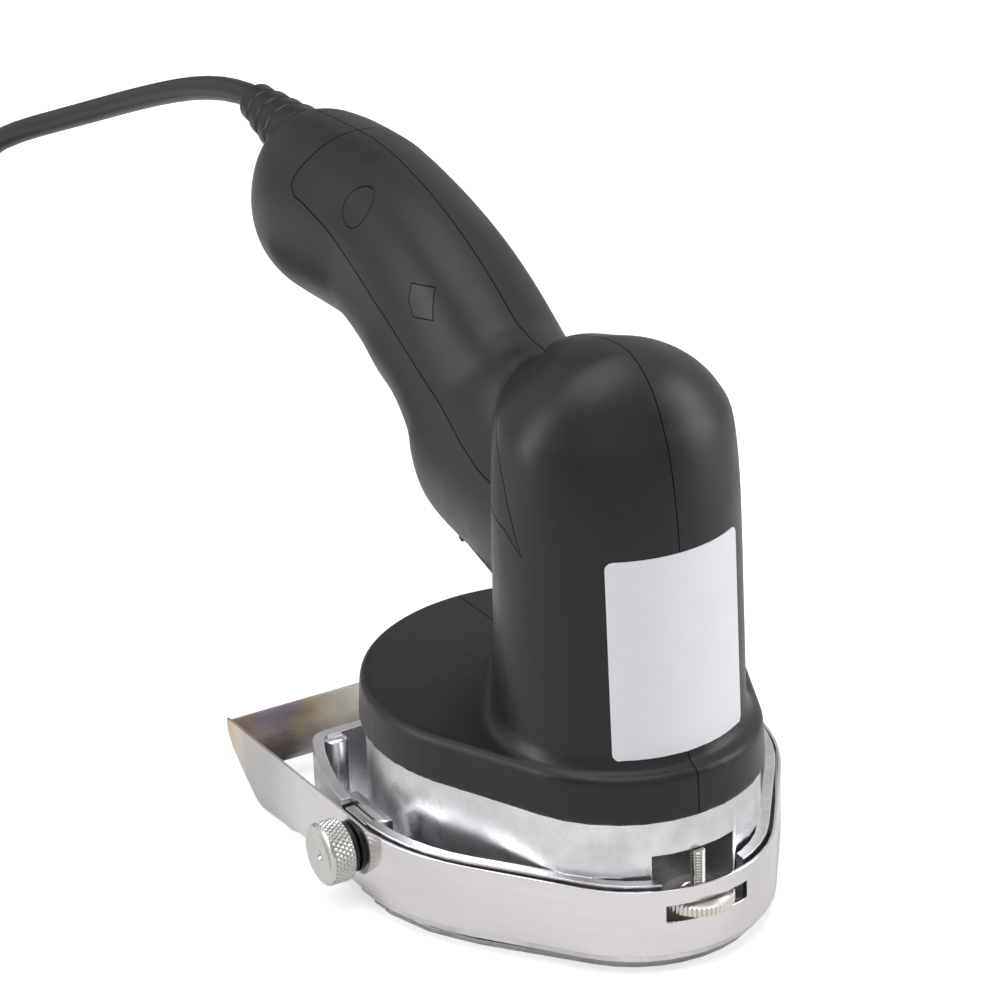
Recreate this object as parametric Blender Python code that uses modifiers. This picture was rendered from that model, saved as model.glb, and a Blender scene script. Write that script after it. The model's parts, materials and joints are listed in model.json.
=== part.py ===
"""Electric kebab slicer: a hand-held round-blade slicer with a pistol handle.

The frame has +X towards the front lip of the guard, +Y to the left and +Z up. The origin
is in the underside of the shoe plate, in the middle plane behind the blade. The shapes are
drawn from the blade's axis, and each finished piece is then set forward from the origin.
All lengths are in metres.
"""
import math

import bmesh
import bpy
import numpy
from mathutils import Matrix, Vector

# Clearances and overruns
SEAT_GAP = 0.0003
RUNNING_GAP = 0.0003
OVERRUN = 0.004
WELD = 0.00001

# How far behind the blade's axis the origin lies
STAND_BACK = 0.062

# Blade, spindle and gear train
BLADE_RADIUS = 0.050
BLADE_THICKNESS = 0.0014
BLADE_LIFT = 0.0006
BLADE_DISH_DEPTH = 0.0038
BLADE_DISH_RADIUS = 0.024
BLADE_DISH_SLOPE = 0.007
BLADE_BEVEL = 0.0045
SPINDLE_RADIUS = 0.005
SPINDLE_THREAD_RADIUS = 0.003
HUB_RADIUS = 0.0115
HUB_HEIGHT = 0.0022
BLADE_NUT_FLATS = 0.0105
BLADE_NUT_HEIGHT = 0.0032
GEAR_MODULE = 0.0015
GEAR_TEETH = 40
PINION_TEETH = 8
GEAR_WIDTH = 0.007
GEAR_HUB_RADIUS = 0.009
GEAR_HUB_HEIGHT = 0.0025
TOOTH_TOP_SHARE = 0.8
TOOTH_ROOT_SHARE = 1.1
TOOTH_TIP_WIDTH_SHARE = 0.2
TOOTH_FOOT_WIDTH_SHARE = 0.52
BEARING_RADIUS = 0.0095
BEARING_WIDTH = 0.005
CLIP_THICKNESS = 0.001
CLIP_RADIUS = 0.0075

# Cast body
SKIRT_FRONT_RADIUS = 0.0591
SKIRT_REAR_RADIUS = 0.0352
REAR_SET_BACK = 0.0398
SKIRT_SIDE_RADIUS = 0.1066
SKIRT_WALL = 0.003
SKIRT_TOP = 0.025
SKIRT_FOOT = 0.003
TRAY_FRONT = 0.0485
TRAY_CORNER = 0.006
FLOOR_UNDERSIDE = 0.008
FLOOR_THICKNESS = 0.0025
RIM_ROUND = 0.0011
CUP_FRONT_RADIUS = 0.0498
CUP_REAR_RADIUS = 0.0362
CUP_WALL = 0.004
CUP_SHOULDER = 0.0402
CUP_STEP = 0.0023
SPIGOT_TOP = 0.047
BEARING_BOSS_RADIUS = 0.0135
BEARING_BOSS_TOP = 0.021
CORNER_BOSS_RADIUS = 0.0032
WINDOW_HALF_WIDTH = 0.0122
WINDOW_TOP = 0.0308
POCKET_FRONT = -0.0535
POCKET_WALL = 0.0022
RECESS_WIDTH = 0.014
RECESS_DEPTH = 0.0042
RECESS_WALL = 0.0025
POST_RADIUS = 0.0042

# Gear plate
PLATE_THICKNESS = 0.0025
PLATE_INSET = 0.0003

# Handle
HANDLE_REACH = 0.1355
HANDLE_HEIGHT = 0.1754
HANDLE_HALF_WIDTH = 0.0214
GRIP_THICKNESS = 0.002
GRIP_SEAM = 0.0003

# Black cover and tower
COVER_FRONT_RADIUS = 0.0515
COVER_REAR_RADIUS = 0.0375
MOTOR_SET_BACK = 0.034
COVER_FOOT = 0.0405
COVER_TOP = 0.0536
COVER_DRAFT = 0.0006
COVER_ROUND = 0.0018
SHELL_WALL = 0.0026
THICK_WALL = 0.0048
HALF_SPAN = 0.060
PARTING_GAP = 0.0003
TOWER_REAR_RADIUS = 0.0318
TOWER_SINK = 0.003
TOWER_DROP = 0.0188
TOWER_FOOT = COVER_TOP - TOWER_SINK
TOWER_TOP = HANDLE_HEIGHT - TOWER_DROP

# Guard
GUARD_SHEET = 0.0008
BAND_FRONT_ROOM = 0.0015
BAND_REAR_ROOM = 0.0018
BAND_FRONT_RADIUS = SKIRT_FRONT_RADIUS + BAND_FRONT_ROOM
BAND_REAR_RADIUS = SKIRT_REAR_RADIUS + BAND_REAR_ROOM
BAND_TOP = 0.0241
PIVOT_X = 0.004
PIVOT_Z = 0.015
CHEEK_FRONT = 0.0808
CHEEK_TAPER = 0.0034
CHEEK_HALF_WIDTH = BAND_FRONT_RADIUS - CHEEK_TAPER
CHEEK_TOP = 0.0187
LIP_X = 0.0702
LIP_HEIGHT = 0.0063
SLOT_HALF_WIDTH = 0.0122
SLOT_BOTTOM = 0.0147
SLOT_TOP = 0.0195

# Thumbscrews and thickness adjuster
KNOB_RADIUS = 0.0086
KNOB_WIDTH = 0.0068
KNOB_CHAMFER = 0.0004
WASHER_RADIUS = 0.007
FAR_HEAD_RADIUS = 0.0048
FAR_HEAD_WIDTH = 0.0028
FAR_WASHER_RADIUS = 0.0046
WASHER_THICKNESS = 0.0015
THUMB_SHANK_RADIUS = 0.0025
GUARD_HOLE_RADIUS = 0.003
NUT_PLATE_WIDTH = 0.012
NUT_PLATE_THICKNESS = 0.003
STUD_RADIUS = 0.002
STUD_X = -0.0705
WHEEL_RADIUS = 0.0094
WHEEL_WIDTH = 0.0034
WHEEL_BORE_GAP = 0.0009

# Shoe plate
SHOE_FRONT_INSET = 0.0016
SHOE_REAR_INSET = 0.0025
SHOE_FRONT_RADIUS = SKIRT_FRONT_RADIUS - SHOE_FRONT_INSET
SHOE_REAR_RADIUS = SKIRT_REAR_RADIUS - SHOE_REAR_INSET
SHOE_THICKNESS = 0.0015
SHOE_BLADE_GAP = 0.0015
SHOE_END = -0.002
SHOE_SCREW_RADIUS = 0.0015
SHOE_SCREW_HEAD = 0.0028
SHOE_BOSS_RADIUS = 0.0034

# Motor
MOTOR_RADIUS = 0.021
MOTOR_WALL = 0.0012
MOTOR_HEIGHT = 0.052
MOTOR_SHAFT_RADIUS = 0.0016
MOTOR_BEARING_RADIUS = 0.0055
MOTOR_BEARING_WIDTH = 0.004
MAGNET_THICKNESS = 0.0045
MAGNET_HALF_ANGLE = math.radians(65)
ARMATURE_RADIUS = 0.0135
ARMATURE_SLOTS = 7
ARMATURE_SLOT_WIDTH = 0.0022
COMMUTATOR_RADIUS = 0.0055
COMMUTATOR_LENGTH = 0.009
BRUSH_WIDTH = 0.004
END_CAP_THICKNESS = 0.003
MOTOR_SCREW_CIRCLE = 0.0125

PINION_INSET = 0.0003
MAGNET_SET_BACK = 0.005
ARMATURE_SET_BACK = 0.012
ARMATURE_LENGTH = 0.022
ARMATURE_SLOT_SHARE = 0.62
WINDING_RISE = 0.004
WINDING_SHARE = 0.8

# Switch
SWITCH_X_SHARE = 0.2192
SWITCH_Z_SHARE = 0.4629
SWITCH_X = HANDLE_REACH * SWITCH_X_SHARE
SWITCH_Z = HANDLE_HEIGHT * SWITCH_Z_SHARE
SWITCH_TILT = math.radians(16)
SWITCH_LENGTH = 0.0285
SWITCH_WIDTH = 0.0145
SWITCH_FLANGE = 0.0034
SWITCH_SINK = 0.0006
SWITCH_BODY_LENGTH = 0.0250
SWITCH_BODY_WIDTH = 0.0115
SWITCH_BODY_DEPTH = 0.0145
ROCKER_LENGTH = 0.0216
ROCKER_WIDTH = 0.0088
ROCKER_PIVOT_DEPTH = 0.0022
ROCKER_RISE = 0.0030
ROCKER_SWEEP = 0.0006
ROCKER_ROOM = 0.0082
TAB_SHARES = (-0.6, 0, 0.6)
TAB_THICKNESS = 0.0008
TAB_WIDTH = 0.0048
TAB_LENGTH = 0.0060

# Screws
SCREW_RADIUS = 0.0015
SCREW_HEAD_RADIUS = 0.0029
SCREW_HEAD_HEIGHT = 0.0019
LONG_SCREW_RADIUS = 0.0018
LONG_SCREW_HEAD_RADIUS = 0.0034

# Strain relief and cord clamp
BOOT_SET_IN = 0.0065
BOOT_HEIGHT_SHARE = 0.9247
BOOT_START = HANDLE_REACH - BOOT_SET_IN
BOOT_HEIGHT = HANDLE_HEIGHT * BOOT_HEIGHT_SHARE
BOOT_TILT = math.radians(8)
BOOT_LENGTH = 0.030
BOOT_RADIUS = 0.0092
BOOT_TIP_RADIUS = 0.0058
BOOT_RINGS = 4
BOOT_GROOVE = 0.0013
BOOT_NECK_RADIUS = 0.0062
BOOT_FLANGE_RADIUS = 0.0074
BOOT_FLANGE_START = 0.0063
BOOT_FLANGE_END = 0.0090
CLAMP_LENGTH = 0.009
CLAMP_WIDTH = 0.020
CLAMP_THICKNESS = 0.003
CLAMP_START = -0.026
CLAMP_BLOCK_NEAR = 0.0042
CLAMP_BLOCK_FAR = 0.0100
CLAMP_BLOCK_RISE = 0.014
CLAMP_SCREW_Y = 0.0072
CLAMP_BORE_DEPTH = 0.0070

# Cord, coil and plug
CORD_RADIUS = 0.0035
CORD_SPACING = 0.012
CORD_TAIL = 0.006
ROUTE_STEPS = 12
COIL_SET_OUT = 0.156
COIL_X = BOOT_START + COIL_SET_OUT
COIL_Y = 0.097
COIL_INNER = 0.0312
COIL_PITCH = 0.0076
COIL_PITCH_IN = 0.0075
COIL_LAYERS = 4
COIL_QUARTER_TURNS = 25
COIL_CLIMB_SHARE = 0.5
COIL_STEPS = 24
TAIL_LENGTH = 0.047
TAIL_STEPS = 6
TAIL_RISE_SHARE = 0.8
PLUG_LENGTH = 0.035
PLUG_WIDTH = 0.0350
PLUG_THICKNESS = 0.0137
PLUG_ROUND = 0.0022
PLUG_NECK = 0.009
PLUG_NECK_RADIUS = 0.0055
PIN_RADIUS = 0.002
PIN_LENGTH = 0.019
PIN_SPACING = 0.0186

# Screw places
PLATE_POSTS = [(0.032, 0.027), (0.032, -0.027), (-0.022, 0.0378), (-0.022, -0.0378)]
COVER_POSTS = [(-0.0455, 0.0245), (-0.0455, -0.0245)]
SHOE_POST_INSET = 0.0048
SHOE_POST_Y = SKIRT_FRONT_RADIUS - SHOE_POST_INSET
SHOE_POSTS = [(-0.006, SHOE_POST_Y), (-0.006, -SHOE_POST_Y), (-0.058, 0.012), (-0.058, -0.012)]
HANDLE_SCREW_SHARES = [(0.2472, 0.8461), (0.5144, 0.9322)]
TOWER_SCREW = (0.0030, 0.0700)
SHELL_SCREWS = [(x * HANDLE_REACH, z * HANDLE_HEIGHT) for x, z in HANDLE_SCREW_SHARES] + [TOWER_SCREW]
SHELL_BOSS_RADIUS = 0.0042
SHELL_BOSS_BITE = 0.0012
SHELL_SCREW_SEAT = 0.0045
SHELL_SCREW_DEPTH = 0.0100
COVER_BOSS_TOP = 0.068
COVER_FOOT_BOSS_RADIUS = 0.0062
COVER_FOOT_BOSS_TOP = 0.0150
PLATE_SCREW_LENGTH = 0.012
SHOE_SCREW_LENGTH = 0.0060

COVER_HEAD_HEIGHT = 0.0021
NOTCH_FOOT = 0.0108
CORNER_BOSS_X = 0.0440
CORNER_BOSS_INSET = 0.0165
CORNER_BOSS_Y = SKIRT_FRONT_RADIUS - CORNER_BOSS_INSET
FLOOR_BOSS_DROP = 0.0005
MOTOR_HOLE_RADIUS = 0.0042
GEAR_CENTRES = (GEAR_TEETH + PINION_TEETH) * GEAR_MODULE / 2

# Heights along the blade's axis
HUB_COLLAR_RADIUS = 0.0080
HUB_COLLAR_TOP = 0.0115
HUB_ROOM_RADIUS = 0.0125
HUB_ROOM_TOP = 0.0123
LOWER_BEARING_FOOT = 0.0153
BEARING_LIP_RADIUS = 0.0076
GEAR_FOOT = 0.0350
PLATE_FOOT = 0.0473
PLATE_BOSS_RADIUS = 0.0125
PLATE_BOSS_FOOT = 0.0433
PLATE_BOSS_TOP = 0.0500
UPPER_BEARING_FOOT = 0.0440
CLIP_FOOT = 0.0494
CLIP_GROOVE_RADIUS = 0.0044
SPINDLE_TOP = 0.0530
SHELL_FOOT_GAP = 0.0003
MOTOR_FOOT = 0.0501

# Adjuster pocket and stud
POCKET_HEIGHT = 0.0330
WHEEL_Z = 0.0171
STUD_FOOT = 0.0086
STUD_TOP = WINDOW_TOP - SEAT_GAP

# Board
BOARD_Z_SHARE = 0.5616
BOARD_LENGTH = 0.024
BOARD_HEIGHT = 0.023
BOARD_THICKNESS = 0.0016
BOARD_PART_HEIGHT = 0.0075
BOARD_LOW = (0.0005, 0.0050, HANDLE_HEIGHT * BOARD_Z_SHARE)
BOARD_HIGH = (BOARD_LOW[0] + BOARD_LENGTH, BOARD_LOW[1] + BOARD_THICKNESS, BOARD_LOW[2] + BOARD_HEIGHT)
BOARD_POST_RADIUS = 0.0022
BOARD_POST_SHARES = (0.2, 0.8)

# The cord's route from the boot to the coil, chosen by hand along the photographed line and
# measured from the mouth of the boot
CORD_ROUTE = [
    (0.0347, 0.0001, 0.0042),
    (0.0468, 0.0004, 0.0024),
    (0.0618, 0.0011, -0.0013),
    (0.0765, 0.0023, -0.0060),
    (0.0907, 0.0039, -0.0112),
    (0.1046, 0.0058, -0.0166),
    (0.1179, 0.0083, -0.0220),
    (0.1380, 0.0130, -0.0302),
    (0.1519, 0.0172, -0.0360),
    (0.1649, 0.0220, -0.0424),
    (0.1750, 0.0268, -0.0510),
    (0.1835, 0.0315, -0.0617),
    (0.1900, 0.0362, -0.0722),
    (0.1950, 0.0415, -0.0837),
    (0.1976, 0.0467, -0.0957),
    (0.1986, 0.0520, -0.1042),
    (0.1988, 0.0573, -0.1127),
    (0.1988, 0.0626, -0.1210),
    (0.1988, 0.0691, -0.1285),
    (0.1988, 0.0788, -0.1343),
]

# Neighbouring faces that lean less than this against each other become one
FLAT_ANGLE = math.radians(2)


def clear_scene():
    for thing in list(bpy.data.objects):
        bpy.data.objects.remove(thing, do_unlink=True)


clear_scene()
parts = bpy.data.collections.new("kebab_slicer")
cutters = bpy.data.collections.new("cutters")
bpy.context.scene.collection.children.link(parts)
bpy.context.scene.collection.children.link(cutters)


def material(name, colour, roughness, metallic=0.0):
    made = bpy.data.materials.new(name)
    made.use_nodes = True
    shader = made.node_tree.nodes["Principled BSDF"]
    shader.inputs["Base Color"].default_value = (*colour, 1.0)
    shader.inputs["Roughness"].default_value = roughness
    shader.inputs["Metallic"].default_value = metallic
    return made


BLACK_PLASTIC = dict(colour=(0.022, 0.022, 0.024), roughness=0.5)
SOFT_PLASTIC = dict(colour=(0.028, 0.028, 0.030), roughness=0.62)
GLOSSY_PLASTIC = dict(colour=(0.012, 0.012, 0.013), roughness=0.25)
CORD_PLASTIC = dict(colour=(0.02, 0.02, 0.022), roughness=0.45)
CAST_METAL = dict(colour=(0.62, 0.63, 0.65), roughness=0.25, metallic=1.0)
SHEET_STEEL = dict(colour=(0.72, 0.71, 0.70), roughness=0.18, metallic=1.0)
BLADE_STEEL = dict(colour=(0.75, 0.76, 0.78), roughness=0.12, metallic=1.0)
TURNED_STEEL = dict(colour=(0.60, 0.58, 0.55), roughness=0.3, metallic=1.0)
GEAR_STEEL = dict(colour=(0.38, 0.38, 0.40), roughness=0.35, metallic=1.0)
MOTOR_STEEL = dict(colour=(0.45, 0.46, 0.48), roughness=0.3, metallic=1.0)
BRASS = dict(colour=(0.72, 0.55, 0.25), roughness=0.3, metallic=1.0)
MAGNET_FERRITE = dict(colour=(0.08, 0.08, 0.09), roughness=0.6)
BOARD_GREEN = dict(colour=(0.05, 0.22, 0.10), roughness=0.5)


def evaluated_mesh(thing):
    graph = bpy.context.evaluated_depsgraph_get()
    return bpy.data.meshes.new_from_object(thing.evaluated_get(graph), depsgraph=graph)


def solid(name, mesh, collection=cutters):
    """Put a mesh on a new object, with its doubles merged and its faces pointing out."""
    shape = bmesh.new()
    shape.from_mesh(mesh)
    bmesh.ops.remove_doubles(shape, verts=shape.verts, dist=WELD)
    bmesh.ops.recalc_face_normals(shape, faces=shape.faces)
    shape.to_mesh(mesh)
    shape.free()
    made = bpy.data.objects.new(name, mesh)
    collection.objects.link(made)
    return made


def apply_modifiers(thing):
    mesh = evaluated_mesh(thing)
    thing.modifiers.clear()
    old = thing.data
    thing.data = mesh
    if isinstance(old, bpy.types.Mesh):
        bpy.data.meshes.remove(old)
    return thing


def tidy(thing):
    """Merge the near-double points and slivers that a cut can leave."""
    shape = bmesh.new()
    shape.from_mesh(thing.data)
    bmesh.ops.remove_doubles(shape, verts=shape.verts, dist=WELD / 4)
    bmesh.ops.dissolve_degenerate(shape, edges=shape.edges, dist=WELD / 8)
    shape.to_mesh(thing.data)
    shape.free()


def combine(target, tool, operation, keep=False):
    """Cut, join or intersect the target with the tool, and remove the tool."""
    step = target.modifiers.new(operation, "BOOLEAN")
    step.operation = operation
    step.solver = "EXACT"
    step.object = tool
    bpy.context.view_layer.update()
    apply_modifiers(target)
    tidy(target)
    if not keep:
        bpy.data.objects.remove(tool, do_unlink=True)
    return target


def cut(target, tool, keep=False):
    return combine(target, tool, "DIFFERENCE", keep)


def join(target, tool, keep=False):
    return combine(target, tool, "UNION", keep)


def common(target, tool, keep=False):
    return combine(target, tool, "INTERSECT", keep)


def copy_of(thing, name="copy"):
    made = bpy.data.objects.new(name, thing.data.copy())
    made.matrix_world = thing.matrix_world.copy()
    cutters.objects.link(made)
    return made


def move(thing, matrix):
    """Turn or shift the object's mesh, which leaves its origin where it is."""
    thing.data.transform(matrix)
    return thing


def round_edges(thing, width, segments=2, angle=math.radians(40)):
    step = thing.modifiers.new("Bevel", "BEVEL")
    step.width = width
    step.segments = segments
    step.limit_method = "ANGLE"
    step.angle_limit = angle
    step.use_clamp_overlap = True
    return apply_modifiers(thing)


def place(thing, name, look, origin=(0, 0, 0)):
    """Name a finished piece, give it its material and set it forward, its origin on its axis."""
    shape = bmesh.new()
    shape.from_mesh(thing.data)
    bmesh.ops.dissolve_limit(shape, angle_limit=FLAT_ANGLE, verts=shape.verts, edges=shape.edges)
    bmesh.ops.triangulate(shape, faces=[face for face in shape.faces if len(face.verts) > 4])
    shape.to_mesh(thing.data)
    shape.free()
    thing.name = name
    thing.data.name = name
    for collection in list(thing.users_collection):
        collection.objects.unlink(thing)
    parts.objects.link(thing)
    thing.data.transform(Matrix.Translation(-Vector(origin)))
    thing.location = Vector(origin) + Vector((STAND_BACK, 0, 0))
    thing.data.materials.clear()
    thing.data.materials.append(material(name, **look))
    thing.data.shade_smooth()
    thing.data.set_sharp_from_angle(angle=math.radians(35))
    return thing


def slab(name, outlines, low, high):
    """A flat outline, with holes where more outlines are given, from low to high."""
    curve = bpy.data.curves.new(name, "CURVE")
    curve.dimensions = "2D"
    curve.fill_mode = "BOTH"
    curve.extrude = (high - low) / 2
    for outline in outlines:
        spline = curve.splines.new("POLY")
        spline.points.add(len(outline) - 1)
        for point, (x, y) in zip(spline.points, outline):
            point.co = (x, y, 0, 1)
        spline.use_cyclic_u = True
    guide = bpy.data.objects.new(name, curve)
    cutters.objects.link(guide)
    bpy.context.view_layer.update()
    mesh = evaluated_mesh(guide)
    bpy.data.objects.remove(guide, do_unlink=True)
    made = solid(name, mesh)
    return move(made, Matrix.Translation((0, 0, (low + high) / 2)))


def side_slab(name, outline, left, right):
    """An outline drawn in X and Z, as wide as from right to left in Y."""
    made = slab(name, [outline], -left, -right)
    return move(made, Matrix.Rotation(math.radians(90), 4, "X"))


def box(name, low, high):
    shape = bmesh.new()
    bmesh.ops.create_cube(shape, size=1)
    size = Vector(high) - Vector(low)
    centre = (Vector(high) + Vector(low)) / 2
    bmesh.ops.scale(shape, vec=size, verts=shape.verts)
    bmesh.ops.translate(shape, vec=centre, verts=shape.verts)
    mesh = bpy.data.meshes.new(name)
    shape.to_mesh(mesh)
    shape.free()
    return solid(name, mesh)


def rod(name, radius, low, high, x=0, y=0, sides=24):
    """An upright cylinder."""
    shape = bmesh.new()
    bmesh.ops.create_cone(
        shape, cap_ends=True, segments=sides, radius1=radius, radius2=radius, depth=high - low
    )
    bmesh.ops.translate(shape, vec=(x, y, (low + high) / 2), verts=shape.verts)
    mesh = bpy.data.meshes.new(name)
    shape.to_mesh(mesh)
    shape.free()
    return solid(name, mesh)


def cross_rod(name, radius, right, left, x, z, sides=24):
    """A cylinder along Y."""
    made = rod(name, radius, -left, -right, x, z, sides)
    return move(made, Matrix.Rotation(math.radians(90), 4, "X"))


def turned(name, profile, steps=32, x=0, y=0):
    """A profile of radius and height pairs, run top to bottom, spun about an upright axis."""
    mesh = bpy.data.meshes.new(name)
    shape = bmesh.new()
    points = [shape.verts.new((radius, 0, height)) for radius, height in profile]
    for start, end in zip(points, points[1:]):
        shape.edges.new((start, end))
    shape.to_mesh(mesh)
    shape.free()
    guide = bpy.data.objects.new(name, mesh)
    cutters.objects.link(guide)
    step = guide.modifiers.new("Screw", "SCREW")
    step.steps = steps
    step.render_steps = steps
    step.use_merge_vertices = True
    step.merge_threshold = WELD
    step.use_normal_calculate = True
    bpy.context.view_layer.update()
    mesh = evaluated_mesh(guide)
    bpy.data.objects.remove(guide, do_unlink=True)
    made = solid(name, mesh)
    return move(made, Matrix.Translation((x, y, 0)))


def loft(name, rings):
    """A closed skin over rings of points, which all have the same count."""
    shape = bmesh.new()
    loops = [[shape.verts.new(point) for point in ring] for ring in rings]
    count = len(rings[0])
    for lower, upper in zip(loops, loops[1:]):
        for i in range(count):
            j = (i + 1) % count
            shape.faces.new((lower[i], lower[j], upper[j], upper[i]))
    shape.faces.new(list(reversed(loops[0])))
    shape.faces.new(loops[-1])
    bmesh.ops.triangulate(shape, faces=[f for f in shape.faces if len(f.verts) > 4])
    mesh = bpy.data.meshes.new(name)
    shape.to_mesh(mesh)
    shape.free()
    return solid(name, mesh)


def arc(centre_x, centre_y, radius, start, end, steps):
    """Points on an arc, in degrees, both ends included."""
    angles = [math.radians(start + (end - start) * i / steps) for i in range(steps + 1)]
    return [(centre_x + radius * math.cos(a), centre_y + radius * math.sin(a)) for a in angles]


def circle(radius, x=0, y=0, steps=32):
    return arc(x, y, radius, 0, 360 * (steps - 1) / steps, steps - 1)


def egg(front_radius, rear_radius, set_back, front_steps=20, rear_steps=16, front_x=0):
    """Two round ends joined by their tangents, counted from the right side of the front."""
    reach = set_back + front_x
    turn = math.degrees(math.acos((rear_radius - front_radius) / reach))
    front = arc(front_x, 0, front_radius, -turn, turn, front_steps)
    rear = arc(-set_back, 0, rear_radius, turn, 360 - turn, rear_steps)
    return front + rear

# Levels of the tower: height, rear centre, rear length, half width, front reach, nose radius,
# the first as a share of the way from its foot to its top and the rest of its rear radius
TOWER_LEVEL_SHARES = [
    (0.000, -1.101, 0.981, 1.038, 0.484, 0.440),
    (0.027, -1.101, 1.044, 1.101, 0.547, 0.487),
    (0.057, -1.101, 0.981, 1.038, 0.484, 0.440),
    (0.077, -1.101, 0.969, 1.025, 0.481, 0.434),
    (0.581, -1.101, 0.890, 1.006, 0.377, 0.406),
    (0.714, -1.101, 0.827, 0.994, 0.302, 0.393),
    (0.802, -1.101, 0.758, 0.962, 0.239, 0.384),
    (0.853, -1.107, 0.679, 0.881, 0.025, 0.377),
    (0.903, -1.132, 0.572, 0.748, -0.252, 0.340),
    (0.944, -1.157, 0.440, 0.591, -0.377, 0.296),
    (0.975, -1.170, 0.296, 0.421, -0.692, 0.220),
    (0.994, -1.182, 0.157, 0.242, -0.918, 0.182),
    (1.000, -1.189, 0.060, 0.082, -1.094, 0.060),
]

# Above the first level share the dome rounds in, and above the second its walls are thicker
DOME_LEVEL_SHARE = 0.589
UPPER_LEVEL_SHARE = 0.412

# Side view of the guard's sheet, as shares of its front reach and of the band's top
CHEEK_EDGE_SHARES = [
    (-1.000, 1.000),
    (0.050, 1.000),
    (0.300, 0.945),
    (1.005, 0.766),
    (1.001, 0.606),
    (0.969, 0.452),
    (0.928, 0.349),
    (0.877, 0.232),
    (0.827, 0.133),
    (0.785, 0.041),
    (0.740, 0.012),
    (0.649, 0.046),
    (0.558, 0.079),
    (0.496, 0.091),
    (0.450, 0.145),
    (0.415, 0.162),
    (0.200, 0.224),
    (-1.000, 0.224),
]

# Side view of the rocker, as shares of its half length and of its rise
ROCKER_EDGE_SHARES = [
    (-1.00, 1.70),
    (-1.00, 0.10),
    (-0.20, -0.40),
    (-0.08, -1.50),
    (0.30, -1.80),
    (0.44, -1.05),
    (0.58, -1.10),
    (0.62, -2.85),
    (0.80, -2.80),
    (0.95, -1.00),
    (1.00, 0.00),
    (1.00, 1.70),
]

# Parts on the board: low and high corner, as shares of its length, of the parts' height and
# of its width
BOARD_PART_SHARES = [
    ((0.10, -0.04, 0.12), (0.45, 1.00, 0.45)),
    ((0.55, -0.04, 0.15), (0.90, 0.50, 0.40)),
    ((0.15, -0.04, 0.60), (0.40, 0.70, 0.85)),
    ((0.55, -0.04, 0.55), (0.85, 0.90, 0.88)),
]

# Where the boot's rings start and end, as shares of its length, and how far each has tapered
BOOT_RING_START_SHARES = (0.0, 0.26, 0.50, 0.74)
BOOT_RING_END_SHARES = (0.18, 0.42, 0.66, 0.92)
BOOT_RING_TAPER_SHARES = (0.0, 0.35, 0.65, 1.0)

# Plan of the plug's body, as shares of its length and of its half width
PLUG_EDGE_SHARES = [
    (0.00, 0.36),
    (0.00, -0.36),
    (0.22, -0.72),
    (0.50, -0.98),
    (0.62, -1.00),
    (1.00, -1.00),
    (1.00, 1.00),
    (0.62, 1.00),
    (0.50, 0.98),
    (0.22, 0.72),
]

# Rungs of the handle: top X and Z, bottom X and Z, half width, as shares of its reach, its
# height and its half width, then how much narrower the top is than the foot
HANDLE_RUNG_SHARES = [
    (-0.162, 0.730, -0.089, 0.445, 1.120, 0.000),
    (-0.030, 0.807, 0.207, 0.459, 1.010, 0.000),
    (0.037, 0.819, 0.314, 0.483, 0.985, 0.000),
    (0.070, 0.826, 0.352, 0.530, 0.981, 0.000),
    (0.102, 0.835, 0.357, 0.576, 0.981, 0.000),
    (0.201, 0.884, 0.407, 0.620, 0.967, 0.000),
    (0.311, 0.928, 0.469, 0.642, 0.958, 0.000),
    (0.424, 0.962, 0.530, 0.670, 0.925, 0.000),
    (0.539, 0.986, 0.612, 0.696, 0.905, 0.000),
    (0.599, 0.993, 0.654, 0.702, 0.925, 0.000),
    (0.659, 0.997, 0.692, 0.704, 0.962, 0.000),
    (0.780, 0.995, 0.771, 0.708, 1.032, 0.030),
    (0.839, 0.993, 0.819, 0.711, 1.060, 0.080),
    (0.893, 0.989, 0.881, 0.723, 1.037, 0.160),
    (0.936, 0.977, 0.934, 0.751, 0.953, 0.240),
    (0.958, 0.956, 0.976, 0.791, 0.813, 0.300),
    (0.970, 0.933, 0.998, 0.844, 0.561, 0.360),
]
HANDLE_ROUNDNESS_SHARE = 0.8696
HANDLE_STEPS = 18


def cover_form(inset, foot=COVER_FOOT):
    """The low black cover, and with an inset the room inside it."""
    top = COVER_TOP - inset
    rounding = max(COVER_ROUND - inset, RIM_ROUND / 2)
    levels = [
        (foot, 0),
        (top - rounding, COVER_DRAFT),
        (top - rounding * 0.45, COVER_DRAFT + rounding * 0.15),
        (top - rounding * 0.13, COVER_DRAFT + rounding * 0.5),
        (top, COVER_DRAFT + rounding),
    ]
    rings = []
    for height, narrowing in levels:
        shrink = inset + narrowing
        outline = egg(COVER_FRONT_RADIUS - shrink, COVER_REAR_RADIUS - shrink, MOTOR_SET_BACK, 18, 12)
        rings.append([(x, y, height) for x, y in outline])
    return loft("cover_form", rings)


def tower_form(inset, upper_inset=None, skipping=1, nose_steps=8, rear_steps=12):
    """The upright motor tower, or the room inside it, whose upper walls may be thicker."""
    rings = []
    for level, centre, length, width, front, nose in TOWER_LEVEL_SHARES[::skipping]:
        height = TOWER_FOOT + level * (TOWER_TOP - TOWER_FOOT)
        centre = centre * TOWER_REAR_RADIUS
        wall = upper_inset if upper_inset and level > UPPER_LEVEL_SHARE else inset
        length, width, front, nose = [
            value * TOWER_REAR_RADIUS - wall for value in (length, width, front, nose)
        ]
        if min(length, width, nose) < PARTING_GAP:
            continue
        height = height - wall * max(0, (level - DOME_LEVEL_SHARE) / (1 - DOME_LEVEL_SHARE))
        outline = egg(nose, width, -centre, nose_steps, rear_steps, front - nose)
        rings.append([
            (x if x > centre else centre - (centre - x) * length / width, y, height)
            for x, y in outline
        ])
    return loft("tower_form", rings)


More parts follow.
